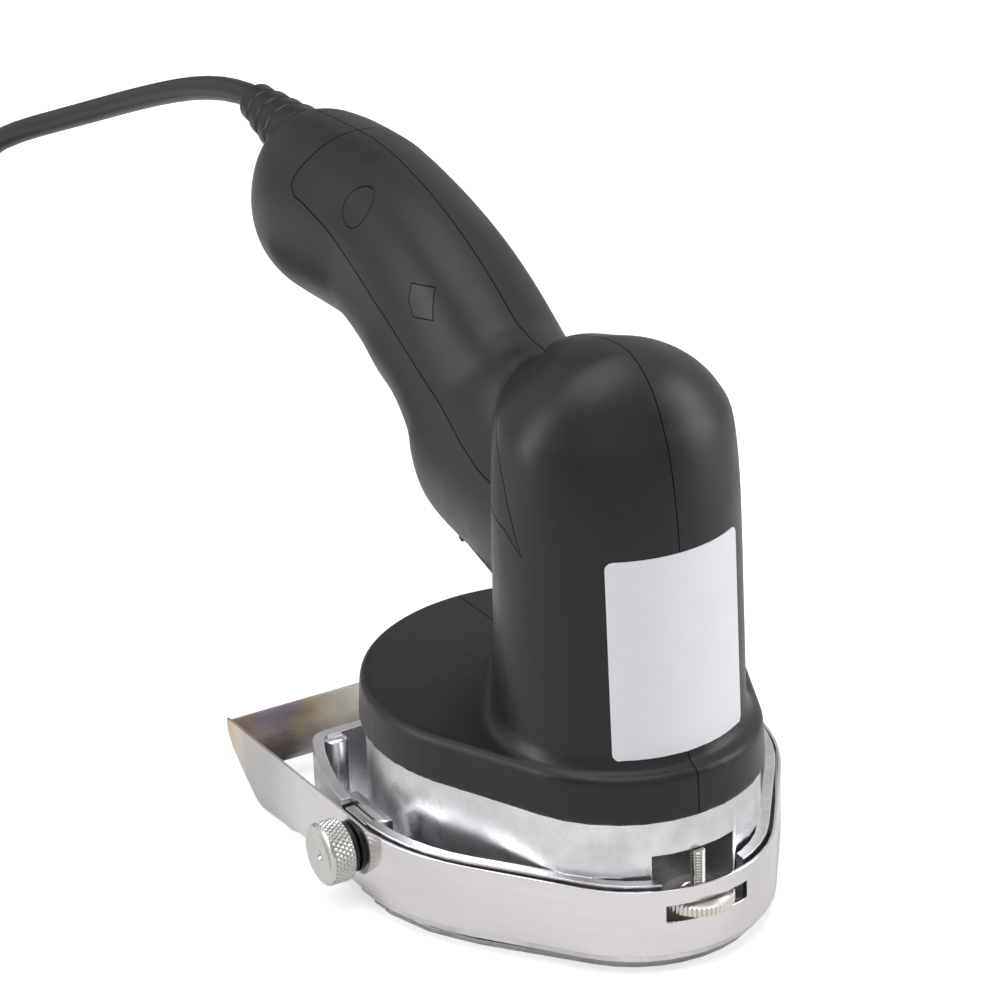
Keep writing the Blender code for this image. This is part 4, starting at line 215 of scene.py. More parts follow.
# %% Black mouldings
def black_plastic(name, level, roughness, grain, depth, dust_share=0.05):
    made = Finish(name)
    fine = made.noise(grain, 3.0, 0.6)
    clouds = made.noise(18 * MM, 3.0, 0.6)
    dust = made.ramp(made.noise(1.1 * MM, 1.0), (0.74, 0.0), (0.84, 1.0))
    tone = made.mix(clouds, level * 0.85, (level * 1.1, level * 1.1, level * 1.16))
    return made.surface(
        Base_Color=made.mix(dust * dust_share, tone, level * 6),
        Roughness=made.ramp(clouds, (0.3, roughness - 0.05), (0.7, roughness + 0.06)),
        Normal=made.bump(fine, depth),
        Specular_IOR_Level=0.42,
    )


shell_black = black_plastic("shell_black", 0.0080, 0.38, 0.42 * MM, 0.028 * MM)
grip_black = black_plastic("grip_black", 0.0062, 0.43, 0.9 * MM, 0.012 * MM)
plain_black = black_plastic("plain_black", 0.0100, 0.34, 0.7 * MM, 0.008 * MM)
gloss_black = black_plastic("gloss_black", 0.0080, 0.20, 2.0 * MM, 0.004 * MM)
print("black finishes: 4")


# %% [markdown]
# A flex has a smooth PVC sheath, with a faint wave left by the twisted wires inside. It is
# a softer, shinier black than the housing.

# %% Cord sheath
def sheath():
    made = Finish("cord_sheath")
    clouds = made.noise(9 * MM, 2.0)
    fine = made.noise(0.5 * MM, 2.0)
    return made.surface(
        Base_Color=made.mix(clouds, 0.009, (0.014, 0.014, 0.015)),
        Roughness=made.ramp(clouds, (0.3, 0.32), (0.7, 0.40)),
        Normal=made.bump(fine * 0.3 + clouds, 0.03 * MM),
    )


cord_black = sheath()


# %% [markdown]
# The guard is bent from bright rolled sheet, polished almost to a mirror, so it shows the
# floor and the thumbscrew in it. Long streaks run along the sheet, finger smudges dull it
# in patches, and where it was welded the heat left straw, brown and blue rings. The cheeks
# forward of CHEEK_START are given a darker colour and the front sheet's inside a rougher
# skin. Both stand for the photograph's darker surroundings and aren't in the metal.

# %% Bright sheet
WELD = (141.0, 44.0, 18.0)
CHEEK_START, FRONT_START = 96.0, 131.0


def bright_sheet():
    made = Finish("bright_sheet")
    streaks = made.noise(2.2 * MM, 3.0, 0.6, (0.05, 0.05, 1.0))
    smudges = made.ramp(made.noise(16 * MM, 4.0, 0.62), (0.42, 0.0), (0.66, 1.0))
    x, y, z = made.axes()
    here = made.place((1 / MM, 1 / MM, 1 / MM))
    corner = made.node("ShaderNodeVectorMath", {"operation": "DISTANCE"}, {0: here, 1: WELD}, "Value")
    reach = (corner + made.noise(9 * MM, 3.0) * 14) / 40
    tint = made.ramp(reach, (0.12, (0.50, 0.50, 0.58)), (0.30, (0.46, 0.38, 0.44)), (0.42, (0.60, 0.46, 0.32)),
                     (0.62, (0.74, 0.66, 0.54)), (0.95, (0.82, 0.80, 0.77)))
    cheek = made.ramp((x - CHEEK_START) / 20, (0.0, 0.0), (1.0, 0.62))
    tone = made.mix(cheek, made.mix(streaks, (0.72, 0.70, 0.69), (0.82, 0.80, 0.79)), (0.40, 0.40, 0.40))
    inside = made.ramp((x - FRONT_START) / 6, (0.0, 0.0), (1.0, 1.0))
    return made.surface(
        Base_Color=made.mix(inside, tone, tint),
        Metallic=1.0,
        Roughness=made.ramp(streaks * 0.5 + smudges * 0.5, (0.2, 0.06), (0.9, 0.17)) + inside * 0.24,
        Normal=made.bump(streaks * 0.15 + made.noise(26 * MM, 2.0), 0.10 * MM),
    )


sheet_steel = bright_sheet()


# %% [markdown]
# The gear housing is an aluminium die casting, tumbled smooth but not flat: its skin is
# slightly wavy, with pores here and there, and the grease of use darkens it in clouds.

# %% Cast and turned metal
def cast_metal(name, tone, roughness, grime, wave=0.22 * MM):
    made = Finish(name)
    waves = made.noise(7 * MM, 2.0, 0.5, (1, 1, 0.35))
    pores = made.ramp(made.noise(0.8 * MM, 2.0), (0.30, 0.0), (0.42, 1.0))
    clouds = made.ramp(made.noise(14 * MM, 4.0, 0.6), (0.38, 0.0), (0.64, 1.0))
    dark = tuple(level * grime for level in tone)
    return made.surface(
        Base_Color=made.mix(clouds, dark, tone),
        Metallic=1.0,
        Roughness=made.ramp(clouds, (0.0, roughness * 1.35), (1.0, roughness)),
        Normal=made.bump(waves + pores * 0.06, wave),
    )


def worked_metal(name, tone, roughness, grain, stretch=(1, 1, 1), depth=0.01 * MM):
    made = Finish(name)
    lines = made.noise(grain, 3.0, 0.6, stretch)
    clouds = made.noise(10 * MM, 3.0, 0.6)
    dark = tuple(level * 0.78 for level in tone)
    return made.surface(
        Base_Color=made.mix(lines * 0.6 + clouds * 0.4, dark, tone),
        Metallic=1.0,
        Roughness=made.ramp(clouds, (0.3, roughness * 0.8), (0.7, roughness * 1.25)),
        Normal=made.bump(lines, depth),
    )


housing_cast = cast_metal("housing_cast", (0.80, 0.80, 0.82), 0.25, 0.80, 0.10 * MM)
plate_cast = cast_metal("plate_cast", (0.55, 0.55, 0.54), 0.34, 0.7)
knurled_nickel = worked_metal("knurled_nickel", (0.74, 0.73, 0.71), 0.22, 0.5 * MM)
turned_steel = worked_metal("turned_steel", (0.66, 0.64, 0.61), 0.24, 0.25 * MM, (1, 1, 6))
wheel_cream = worked_metal("wheel_cream", (0.86, 0.83, 0.77), 0.34, 0.4 * MM)
oiled_steel = worked_metal("oiled_steel", (0.34, 0.33, 0.33), 0.26, 0.3 * MM)
zinc_steel = worked_metal("zinc_steel", (0.52, 0.53, 0.55), 0.36, 1.4 * MM)
bronze = worked_metal("bronze", (0.62, 0.43, 0.20), 0.38, 0.3 * MM)


# %% [markdown]
# The blade and the shoe plate are ground on a turning table, which leaves fine rings about
# the blade's axis. The distance from that axis, squeezed along one line of a noise, makes
# the rings.

# %% Ground steel
def ground_steel():
    made = Finish("ground_steel")
    x, y, z = made.axes()
    across = x - AXIS / MM
    radius = (across * across + y * y).root()
    line = made.node("ShaderNodeCombineXYZ", None, {0: radius})
    rings = made.noise(0.16, 2.0, 0.6, at=line)
    stains = made.ramp(made.noise(9 * MM, 4.0, 0.6), (0.45, 0.0), (0.7, 1.0))
    return made.surface(
        Base_Color=made.mix(stains * 0.5, (0.66, 0.65, 0.63), (0.42, 0.38, 0.33)),
        Metallic=1.0,
        Roughness=made.ramp(rings, (0.3, 0.20), (0.7, 0.32)),
        Normal=made.bump(rings, 0.008 * MM),
    )


blade_steel = ground_steel()


# %% [markdown]
# Three more finishes are seen only where the housing is open: the dull grey of pressed
# magnets, the lacquered green of a circuit board with its copper tracks, and the satin
# white foil of the plate at the tower's back, which stays bare here.

# %% Magnet, board and foil
def pressed_ferrite():
    made = Finish("pressed_ferrite")
    grains = made.noise(0.6 * MM, 4.0, 0.7)
    return made.surface(
        Base_Color=made.mix(grains, 0.035, (0.07, 0.07, 0.075)),
        Roughness=made.ramp(grains, (0.3, 0.5), (0.7, 0.7)),
        Normal=made.bump(grains, 0.03 * MM),
    )


def lacquered_board():
    made = Finish("lacquered_board")
    x, y, z = made.axes()
    tracks = (x * 2.4).sine() * (z * 1.9).sine()
    lines = made.ramp(tracks, (0.10, 0.0), (0.16, 1.0))
    fine = made.noise(0.5 * MM, 2.0)
    return made.surface(
        Base_Color=made.mix(lines, (0.012, 0.11, 0.045), (0.04, 0.22, 0.09)),
        Roughness=made.ramp(fine, (0.3, 0.26), (0.7, 0.36)),
        Normal=made.bump(lines + fine * 0.2, 0.03 * MM),
    )


def satin_foil():
    made = Finish("satin_foil")
    x, y, z = made.axes()
    paper = made.noise(0.7 * MM, 3.0, 0.6)
    clouds = made.noise(11 * MM, 3.0, 0.6)
    return made.surface(
        Base_Color=made.mix(clouds, (0.76, 0.765, 0.795), (0.82, 0.825, 0.85)),
        Roughness=made.ramp(paper, (0.3, 0.42), (0.7, 0.55)),
        Normal=made.bump(paper, 0.006 * MM),
    )


ferrite = pressed_ferrite()
board_green = lacquered_board()
foil_white = satin_foil()
print("finishes:", len(bpy.data.materials))

# %% [markdown]
# Each piece stands for one or more solids and moves with their body. A dressed solid is a
# merged copy of a CAD solid: its triangles are joined, its round faces are shaded smooth
# and its sharp edges get a small bevel that catches the light.

# %% Tools for pieces
SLOTS = {entry["node"]: entry["material_slot"] for entry in frame["record"]["subparts"]}
BODIES = {node: body for body, members in frame["record"]["behaviour"]["bodies"].items() for node in members}


def linked(name, data):
    thing = bpy.data.objects.new(name, data)
    bpy.context.scene.collection.objects.link(thing)
    return thing


def to_object(name, shape):
    """A bmesh as an object at the origin, with its faces pointing out."""
    bmesh.ops.remove_doubles(shape, verts=shape.verts, dist=0.002 * MM)
    bmesh.ops.recalc_face_normals(shape, faces=shape.faces)
    mesh = bpy.data.meshes.new(name)
    shape.to_mesh(mesh)
    shape.free()
    return linked(name, mesh)


def finish_piece(thing, material, *replaced, like=None, angle=34):
    """Shade a piece, give it its finish, and let it ride and stand for its nodes."""
    thing.data.materials.clear()
    thing.data.materials.append(material)
    if thing.type == "MESH":
        thing.data.shade_smooth()
        thing.data.set_sharp_from_angle(angle=math.radians(angle))
    model = like or replaced[0]
    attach(thing, BODIES[model])
    if replaced:
        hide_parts(*replaced)
    return thing


def weigh_normals(thing):
    step = thing.modifiers.new("weigh", "WEIGHTED_NORMAL")
    step.keep_sharp = True
    return thing


def merged_copy(node):
    shape = bmesh.new()
    shape.from_mesh(nodes[node].data)
    bmesh.ops.remove_doubles(shape, verts=shape.verts, dist=0.004 * MM)
    bmesh.ops.dissolve_limit(shape, angle_limit=math.radians(1.2), verts=shape.verts, edges=shape.edges)
    return shape


def dressed(node, material, bevel=0.0, angle=34):
    """A merged copy of a solid with softened edges, which stands for it."""
    thing = to_object(node + "_dressed", merged_copy(node))
    finish_piece(thing, material, node, angle=angle)
    if bevel:
        soften = thing.modifiers.new("soften", "BEVEL")
        soften.width = bevel
        soften.segments = 2
        soften.limit_method = "ANGLE"
        soften.angle_limit = math.radians(angle)
    return weigh_normals(thing)


def wrapped(around, along, spot):
    """A grid wrapped into a closed skin, with each point where spot says."""
    shape = bmesh.new()
    bmesh.ops.create_grid(shape, x_segments=around, y_segments=along, size=0.5)
    for vert in shape.verts:
        vert.co = spot(vert.co.x + 0.5, vert.co.y + 0.5)
    bmesh.ops.remove_doubles(shape, verts=shape.verts, dist=0.002 * MM)
    bmesh.ops.holes_fill(shape, edges=[edge for edge in shape.edges if edge.is_boundary])
    bmesh.ops.recalc_face_normals(shape, faces=shape.faces)
    return shape


def glide(rows, share):
    """The row at a share of the way through a table, on smooth curves through its rows."""
    place = min(max(share, 0), 1) * (len(rows) - 1)
    i = min(int(place), len(rows) - 2)
    t = place - i
    before, start, end, after = (Vector(rows[min(max(k, 0), len(rows) - 1)]) for k in (i - 1, i, i + 1, i + 2))
    return (start * 2 + (end - before) * t + (before * 2 - start * 5 + end * 4 - after) * t ** 2
            + (start * 3 - before - end * 3 + after) * t ** 3) / 2


# %% [markdown]
# The cord leaves the boot, sags away to the left and is put away as a neat coil outside
# the picture, with the plug beside it. One unbroken line of points is computed for it: a
# smooth curve through the route, then spirals in and out in four layers of turns.

# %% Cord line
CORD_RADIUS = 3.5 * MM
SEAT = 0.3 * MM
BOOT_TILT = math.radians(8)
BOOT_MOUTH = Vector((129.0 + 62.0, 0, 162.19)) * MM
boot_frame = Matrix.Translation(BOOT_MOUTH) @ Matrix.Rotation(-BOOT_TILT, 4, "Y")
BOOT_TIP = 27.6 * MM
ROUTE = [
    (34.7, 0.1, 4.2), (46.8, 0.4, 2.4), (61.8, 1.1, -1.3), (76.5, 2.3, -6.0), (90.7, 3.9, -11.2),
    (104.6, 5.8, -16.6), (117.9, 8.3, -22.0), (138.0, 13.0, -30.2), (151.9, 17.2, -36.0),
    (164.9, 22.0, -42.4), (175.0, 26.8, -51.0), (183.5, 31.5, -61.7), (190.0, 36.2, -72.2),
    (195.0, 41.5, -83.7), (197.6, 46.7, -95.7), (198.6, 52.0, -104.2), (198.8, 57.3, -112.7),
    (198.8, 62.6, -121.0), (198.8, 69.1, -128.5), (198.8, 78.8, -134.3),
]
COIL_CENTRE = (BOOT_MOUTH.x + 156 * MM, 97 * MM)
COIL_INNER, PITCH_IN, PITCH_DOWN = 31.2 * MM, 7.5 * MM, 7.6 * MM
ALL_TURNS, LAYERS, STEPS = 6.25, 4, 24
PER_LAYER = ALL_TURNS / LAYERS


def eased(share):
    share = min(1, max(0, share))
    return share ** 2 * (3 - 2 * share)


def coil_point(turns):
    swing = abs(turns / PER_LAYER % 2 - 1)
    radius = COIL_INNER + PITCH_IN * PER_LAYER * swing
    height = LAYERS - 1
    for reversal in range(1, LAYERS):
        height -= eased((turns - reversal * PER_LAYER) / 0.5 + 0.5)
    angle = 2 * math.pi * turns
    return Vector((COIL_CENTRE[0] + radius * math.cos(angle), COIL_CENTRE[1] + radius * math.sin(angle),
                   CORD_RADIUS + height * PITCH_DOWN))


coil = [coil_point(i / STEPS) for i in range(round(ALL_TURNS * STEPS) + 1)]
heading = Vector((0, 1, 0))
lead = coil[0] - heading * CORD_RADIUS * 2
falling = [boot_frame @ Vector((BOOT_TIP - 1 * MM, 0, 0)), boot_frame @ Vector((BOOT_TIP + CORD_RADIUS, 0, 0))]
falling += [BOOT_MOUTH + Vector(point) * MM for point in ROUTE] + [lead - heading * CORD_RADIUS * 2]
free = [glide(falling, i / 36) for i in range(37)]
PLUG_MIDDLE = 6.85 * MM
tail = []
for i in range(1, 11):
    share = i / 10
    tail.append(Vector((coil[-1].x - 47 * MM * share, coil[-1].y,
                        coil[-1].z + (PLUG_MIDDLE - coil[-1].z) * eased(share / 0.8))))
line = free + [lead] + coil + tail
cord_length = sum((after - before).length for before, after in zip(line, line[1:]))
print("cord length in m:", round(cord_length, 3), "points:", len(line))

# %% [markdown]
# The cord itself is a curve of one open spline with a round bevel. The plug is the CAD
# solid with softer edges: its body is black, and its two pins are bright.

# %% Cord and plug
cord_curve = bpy.data.curves.new("mains_cord", "CURVE")
cord_curve.dimensions = "3D"
cord_curve.bevel_depth = CORD_RADIUS
cord_curve.bevel_resolution = 5
cord_curve.use_fill_caps = True
spline = cord_curve.splines.new("POLY")
spline.points.add(len(line) - 1)
for target, point in zip(spline.points, line):
    target.co = (*point, 1)
mains_cord = finish_piece(linked("mains_cord", cord_curve), cord_black, "cord", "cord_coil")

plug = dressed("plug_body", plain_black, 0.7 * MM, 30)
plug.data.materials.append(turned_steel)
pins_end = min(vert.co.x for vert in plug.data.vertices) + 18.9 * MM
for face in plug.data.polygons:
    if face.center.x < pins_end:
        face.material_index = 1

# %% [markdown]
# The boot that keeps the cord from breaking is moulded with four rings, each a little
# smaller than the last. Its outline is drawn once and spun about the cord's own axis.

# %% Boot
def spun(outline, steps=48):
    """An outline of radius and height pairs, spun about an upright axis."""
    shape = bmesh.new()
    points = [shape.verts.new((radius * MM, 0, height * MM)) for radius, height in outline]
    for start, end in zip(points, points[1:]):
        shape.edges.new((start, end))
    bmesh.ops.spin(shape, geom=shape.verts[:] + shape.edges[:], cent=(0, 0, 0), axis=(0, 0, 1),
                   angle=2 * math.pi, steps=steps, use_merge=True)
    bmesh.ops.remove_doubles(shape, verts=shape.verts, dist=0.002 * MM)
    bmesh.ops.recalc_face_normals(shape, faces=shape.faces)
    return shape


def ringed_outline():
    """Four rings with rounded shoulders and grooves between them, from the flange out."""
    outline = [(3.8, -9.0), (7.4, -9.0), (7.4, -6.3), (6.2, -6.3), (6.2, 0.4)]
    rings = [(0.4, 5.4, 9.2), (8.1, 12.6, 8.0), (15.3, 19.8, 7.0), (22.5, 27.6, 5.8)]
    for i, (start, end, radius) in enumerate(rings):
        outline += [(radius - 0.5, start), (radius, start + 0.5)]
        outline += [(radius - 0.1, end - 0.5), (radius - 0.6, end)]
        if i < 3:
            outline += [(radius - 1.6, end + 0.3), (radius - 1.7, rings[i + 1][0] - 0.3)]
    return outline + [(3.8, 27.6), (3.8, -9.0)]


boot = spun(ringed_outline())
bmesh.ops.transform(boot, matrix=boot_frame @ Matrix.Rotation(math.radians(90), 4, "Y"), verts=boot.verts)
weigh_normals(finish_piece(to_object("ringed_boot", boot), plain_black, "strain_relief", angle=50))

# %% [markdown]
# The black housing is one smooth form: a low cover, a tower with a domed top, and a
# handle that fans out of the tower's front. Its sections are given in short tables, a
# smooth curve runs through each table, and a grid is wrapped around the sections.

# %% Sections of the housing
TOWER_RADIUS, TOWER_FOOT, TOWER_TOP = 31.8, 50.6, 156.6
TOWER_ROWS = [
    (0.000, -1.101, 0.981, 1.038, 0.484, 0.440), (0.027, -1.101, 1.020, 1.075, 0.520, 0.470),
    (0.057, -1.101, 0.981, 1.038, 0.484, 0.440), (0.077, -1.101, 0.969, 1.025, 0.481, 0.434),
    (0.300, -1.101, 0.933, 1.018, 0.435, 0.422), (0.581, -1.101, 0.890, 1.006, 0.377, 0.406),
    (0.714, -1.101, 0.827, 0.994, 0.302, 0.393), (0.802, -1.101, 0.758, 0.962, 0.239, 0.384),
    (0.853, -1.107, 0.679, 0.881, 0.025, 0.377), (0.903, -1.132, 0.572, 0.748, -0.252, 0.340),
    (0.944, -1.157, 0.440, 0.591, -0.377, 0.296), (0.975, -1.170, 0.296, 0.421, -0.692, 0.220),
    (0.994, -1.182, 0.157, 0.242, -0.918, 0.182), (1.000, -1.189, 0.060, 0.082, -1.094, 0.060),
]
REACH, HEIGHT, HALF_WIDTH, ROUNDNESS = 135.5, 175.4, 21.4, 0.8696
HANDLE_ROWS = [
    (-0.162, 0.730, -0.089, 0.445, 1.120, 0.000), (-0.030, 0.807, 0.207, 0.459, 1.010, 0.000),
    (0.037, 0.819, 0.314, 0.483, 0.985, 0.000), (0.070, 0.826, 0.352, 0.530, 0.981, 0.000),
    (0.102, 0.835, 0.357, 0.576, 0.981, 0.000), (0.201, 0.884, 0.407, 0.620, 0.967, 0.000),
    (0.311, 0.928, 0.469, 0.642, 0.958, 0.000), (0.424, 0.962, 0.530, 0.670, 0.925, 0.000),
    (0.539, 0.986, 0.612, 0.696, 0.905, 0.000), (0.599, 0.993, 0.654, 0.702, 0.925, 0.000),
    (0.659, 0.997, 0.692, 0.704, 0.962, 0.000), (0.780, 0.995, 0.771, 0.708, 1.032, 0.030),
    (0.839, 0.993, 0.819, 0.711, 1.060, 0.080), (0.893, 0.989, 0.881, 0.723, 1.037, 0.160),
    (0.936, 0.977, 0.934, 0.751, 0.953, 0.240), (0.958, 0.956, 0.976, 0.791, 0.813, 0.300),
    (0.970, 0.933, 0.998, 0.844, 0.561, 0.360),
]
COVER_FRONT, COVER_REAR, COVER_SET_BACK = 51.5, 37.5, -34.0
COVER_ROWS = [(40.5, 0.0), (46.0, 0.3), (51.8, 0.6), (52.7, 0.87), (53.35, 1.5), (53.6, 2.4)]


def egg_point(turn, front_x, front_radius, rear_x, rear_radius):
    """A point on two round ends joined by straight sides, in plan."""
    share = 1 - abs(2 * turn - 1)
    side = 1 if turn < 0.5 else -1
    meet = math.acos(max(-1, min(1, (rear_radius - front_radius) / (front_x - rear_x))))
    way = Vector((math.cos(meet), math.sin(meet)))
    if share < 0.3:
        angle = meet * share / 0.3
        point = Vector((front_x + front_radius * math.cos(angle), front_radius * math.sin(angle)))
    elif share < 0.45:
        ends = Vector((front_x, 0)) + way * front_radius, Vector((rear_x, 0)) + way * rear_radius
        point = ends[0].lerp(ends[1], (share - 0.3) / 0.15)
    else:
        angle = meet + (math.pi - meet) * (share - 0.45) / 0.55
        point = Vector((rear_x + rear_radius * math.cos(angle), rear_radius * math.sin(angle)))
    return point.x, side * point.y


def on_axis(x, y, z):
    """A point given in mm from the blade's axis."""
    return Vector((AXIS + x * MM, y * MM, z * MM))


def tower_point(turn, share):
    level, *shares = glide(TOWER_ROWS, share)
    centre, length, width, front, nose = (value * TOWER_RADIUS for value in shares)
    x, y = egg_point(turn, max(front - nose, centre + 0.01), nose, centre, max(width, 0.1))
    if x < centre:
        x = centre - (centre - x) * length / width
    return on_axis(x, y, TOWER_FOOT + level * (TOWER_TOP - TOWER_FOOT))


def handle_point(turn, share):
    top_x, top_z, foot_x, foot_z, width, narrowing = glide(HANDLE_ROWS, share)
    top = Vector((top_x * REACH, 0, top_z * HEIGHT))
    foot = Vector((foot_x * REACH, 0, foot_z * HEIGHT))
    across, along = math.cos(turn * 2 * math.pi), math.sin(turn * 2 * math.pi)
    across = math.copysign(abs(across) ** ROUNDNESS, across)
    along = math.copysign(abs(along) ** ROUNDNESS, along)
    point = (top + foot) / 2 + (top - foot) * (along / 2)
    return on_axis(point.x, -width * HALF_WIDTH * across * (1 - narrowing * (1 + along) / 2), point.z)


def cover_point(turn, share):
    height, narrowing = glide(COVER_ROWS, share)
    x, y = egg_point(turn, 0, COVER_FRONT - narrowing, COVER_SET_BACK, COVER_REAR - narrowing)
    return on_axis(x, y, height)


forms = [wrapped(96, 90, tower_point), wrapped(72, 96, handle_point), wrapped(128, 20, cover_point)]
print("faces in the forms:", [len(form.faces) for form in forms])

# %% [markdown]
# The three forms are melted into one with a voxel remesh, which joins whatever overlaps
# and leaves the soft fillets of a real moulding. A few rounds of smoothing then take the
# voxels' steps away.

# %% Melt the forms together
def applied(thing, kind, **settings):
    """Add one modifier and make its result the object's own mesh."""
    step = thing.modifiers.new(kind.title(), kind)
    for name, value in settings.items():
        setattr(step, name, value)
    graph = bpy.context.evaluated_depsgraph_get()
    mesh = bpy.data.meshes.new_from_object(thing.evaluated_get(graph), depsgraph=graph)
    thing.modifiers.clear()
    thing.data = mesh
    return thing


def reshaped(thing, action):
    """Run an action on the object's mesh as a bmesh."""
    shape = bmesh.new()
    shape.from_mesh(thing.data)
    action(shape)
    shape.to_mesh(thing.data)
    shape.free()
    return thing


def smoothed(thing, rounds, factor=0.5):
    def smooth(shape):
        for _ in range(rounds):
            bmesh.ops.smooth_vert(shape, verts=shape.verts, factor=factor, use_axis_x=True, use_axis_y=True,
                                  use_axis_z=True)
    return reshaped(thing, smooth)


def joined(name, shapes):
    mesh = bpy.data.meshes.new(name)
    whole = bmesh.new()
    for shape in shapes:
        part = bpy.data.meshes.new("part")
        shape.to_mesh(part)
        shape.free()
        whole.from_mesh(part)
    whole.to_mesh(mesh)
    whole.free()
    return linked(name, mesh)


VOXEL = 0.85 * MM
body = applied(joined("body", forms), "REMESH", mode="VOXEL", voxel_size=VOXEL)
smoothed(body, 5)
print("faces in the body:", len(body.data.polygons))

# %% [markdown]
# The housing is hollow, so a smaller copy of the body is taken out of it, together with
# the openings for the gear case, the switch and the cord. The carving tool is a Boolean
# with the Manifold solver, which is quick on closed meshes like these.

# %% Hollow the body and cut it in halves
WALL = 2.6


def carved(thing, tool, operation="DIFFERENCE", keep=False):
    applied(thing, "BOOLEAN", operation=operation, solver="MANIFOLD", object=tool)
    if not keep:
        bpy.data.objects.remove(tool, do_unlink=True)
    return thing


def copy_of(thing, name):
    return linked(name, thing.data.copy())


def block(low, high, frame_of=Matrix(), name="block"):
    shape = bmesh.new()
    bmesh.ops.create_cube(shape, size=1)
    size, middle = Vector(high) - Vector(low), (Vector(high) + Vector(low)) / 2
    fit = frame_of @ Matrix.Translation(middle) @ Matrix.Diagonal((*size, 1))
    bmesh.ops.transform(shape, matrix=fit, verts=shape.verts)
    return to_object(name, shape)


def shrunk(thing, depth, name):
    """A copy whose skin lies this deep inside."""
    made = copy_of(thing, name)

    def sink(shape):
        shape.normal_update()
        ways = [vert.normal.copy() for vert in shape.verts]
        for vert, way in zip(shape.verts, ways):
            vert.co -= way * depth
    return reshaped(made, sink)


def bore(radius, near, far, at, sides=48):
    """A cylinder about an axis that the matrix gives."""
    shape = bmesh.new()
    bmesh.ops.create_cone(shape, cap_ends=True, segments=sides, radius1=radius, radius2=radius,
                          depth=far - near)
    bmesh.ops.transform(shape, matrix=at @ Matrix.Translation((0, 0, (near + far) / 2)), verts=shape.verts)
    return to_object("bore", shape)


def mouth_point(turn, share):
    """The room for the casting's cup, a wall's thickness inside the cover."""
    x, y = egg_point(turn, 0, COVER_FRONT - WALL, COVER_SET_BACK, COVER_REAR - WALL)
    return on_axis(x, y, 36 + 15 * share)


cavity = applied(shrunk(body, WALL * MM, "cavity"), "REMESH", mode="VOXEL", voxel_size=1.6 * MM)
smoothed(cavity, 4)
carved(body, cavity)
carved(body, to_object("mouth", wrapped(64, 1, mouth_point)))

SWITCH_TILT = math.radians(16)
switch_frame = Matrix.Translation(on_axis(29.702, 0, 81.193)) @ Matrix.Rotation(-SWITCH_TILT, 4, "Y")
carved(body, block((-14.6 * MM, -7.6 * MM, -8 * MM), (14.6 * MM, 7.6 * MM, 0.9 * MM), switch_frame))
carved(body, block((-12.9 * MM, -6.1 * MM, -2 * MM), (12.9 * MM, 6.1 * MM, 22 * MM), switch_frame))
along_cord = boot_frame @ Matrix.Rotation(math.radians(90), 4, "Y")
carved(body, bore(9.4 * MM, -0.2 * MM, 30 * MM, along_cord))
carved(body, bore(6.6 * MM, -14 * MM, 1 * MM, along_cord))

HALF_GAP = 0.14 * MM
halves = {}
for side, name in ((1, "left"), (-1, "right")):
    near, far = sorted((side * HALF_GAP, side * 80 * MM))
    room = block((-0.05, near, 0), (0.25, far, 0.2))
    halves[name] = carved(copy_of(body, name + "_housing"), room, "INTERSECT")
bpy.data.objects.remove(body, do_unlink=True)
print("faces in the halves:", [len(half.data.polygons) for half in halves.values()])

# %% [markdown]
# A satin grip lies on each half. Its outline is drawn in the side view, from the long lower
# seam to the pointed tail on the tower, and pushed across as a prism. What the prism shares
# with the housing, a millimetre deep, is the grip, and its bed is cut a little wider, so a
# fine dark seam shows between them.

# %% Grips and screw plugs
GRIP_OUTLINE = [
    (0.714, 0.909), (0.687, 0.906), (0.642, 0.896), (0.587, 0.881), (0.509, 0.856), (0.428, 0.830),
    (0.347, 0.803), (0.268, 0.771), (0.191, 0.739), (0.125, 0.708), (0.053, 0.679), (-0.022, 0.659),
    (-0.103, 0.650), (-0.192, 0.648), (-0.243, 0.644), (-0.297, 0.617), (-0.268, 0.668), (-0.243, 0.713),
    (-0.214, 0.750), (-0.180, 0.777), (-0.135, 0.793), (-0.114, 0.809), (-0.104, 0.828), (-0.099, 0.848),
    (-0.096, 0.862), (-0.096, 1.050), (0.708, 1.050), (0.709, 0.987), (0.715, 0.970), (0.727, 0.950),
    (0.735, 0.934), (0.732, 0.921),
]
DIAMOND = [(0.291, 0.868), (0.236, 0.870), (0.205, 0.828), (0.258, 0.824), (0.282, 0.844)]
SEAM = 0.4


def drawn_in(points, amount):
    """The same outline, smaller by this much all round."""
    spots = [Vector(point) for point in points]
    ring = list(zip(spots[-1:] + spots[:-1], spots, spots[1:] + spots[:1]))
    way_round = math.copysign(1, sum(spot.cross(after) for _, spot, after in ring))
    made = []
    for before, spot, after in ring:
        sides = [way.normalized().orthogonal() * way_round for way in (spot - before, after - spot)]
        made.append(spot + (sides[0] + sides[1]) * amount / max(0.3, 1 + sides[0].dot(sides[1])))
    return made


def prism(points, near, far, name="prism"):
    """An outline in the side view, pushed across from near to far."""
    shape = bmesh.new()
    shape.faces.new([shape.verts.new(on_axis(x, 0, z)) for x, z in points])
    bmesh.ops.triangulate(shape, faces=shape.faces)
    bmesh.ops.translate(shape, vec=(0, near, 0), verts=shape.verts)
    pushed = bmesh.ops.extrude_face_region(shape, geom=shape.faces[:], use_keep_orig=True)["geom"]
    moved = [item for item in pushed if isinstance(item, bmesh.types.BMVert)]
    bmesh.ops.translate(shape, vec=(0, far - near, 0), verts=moved)
    return to_object(name, shape)


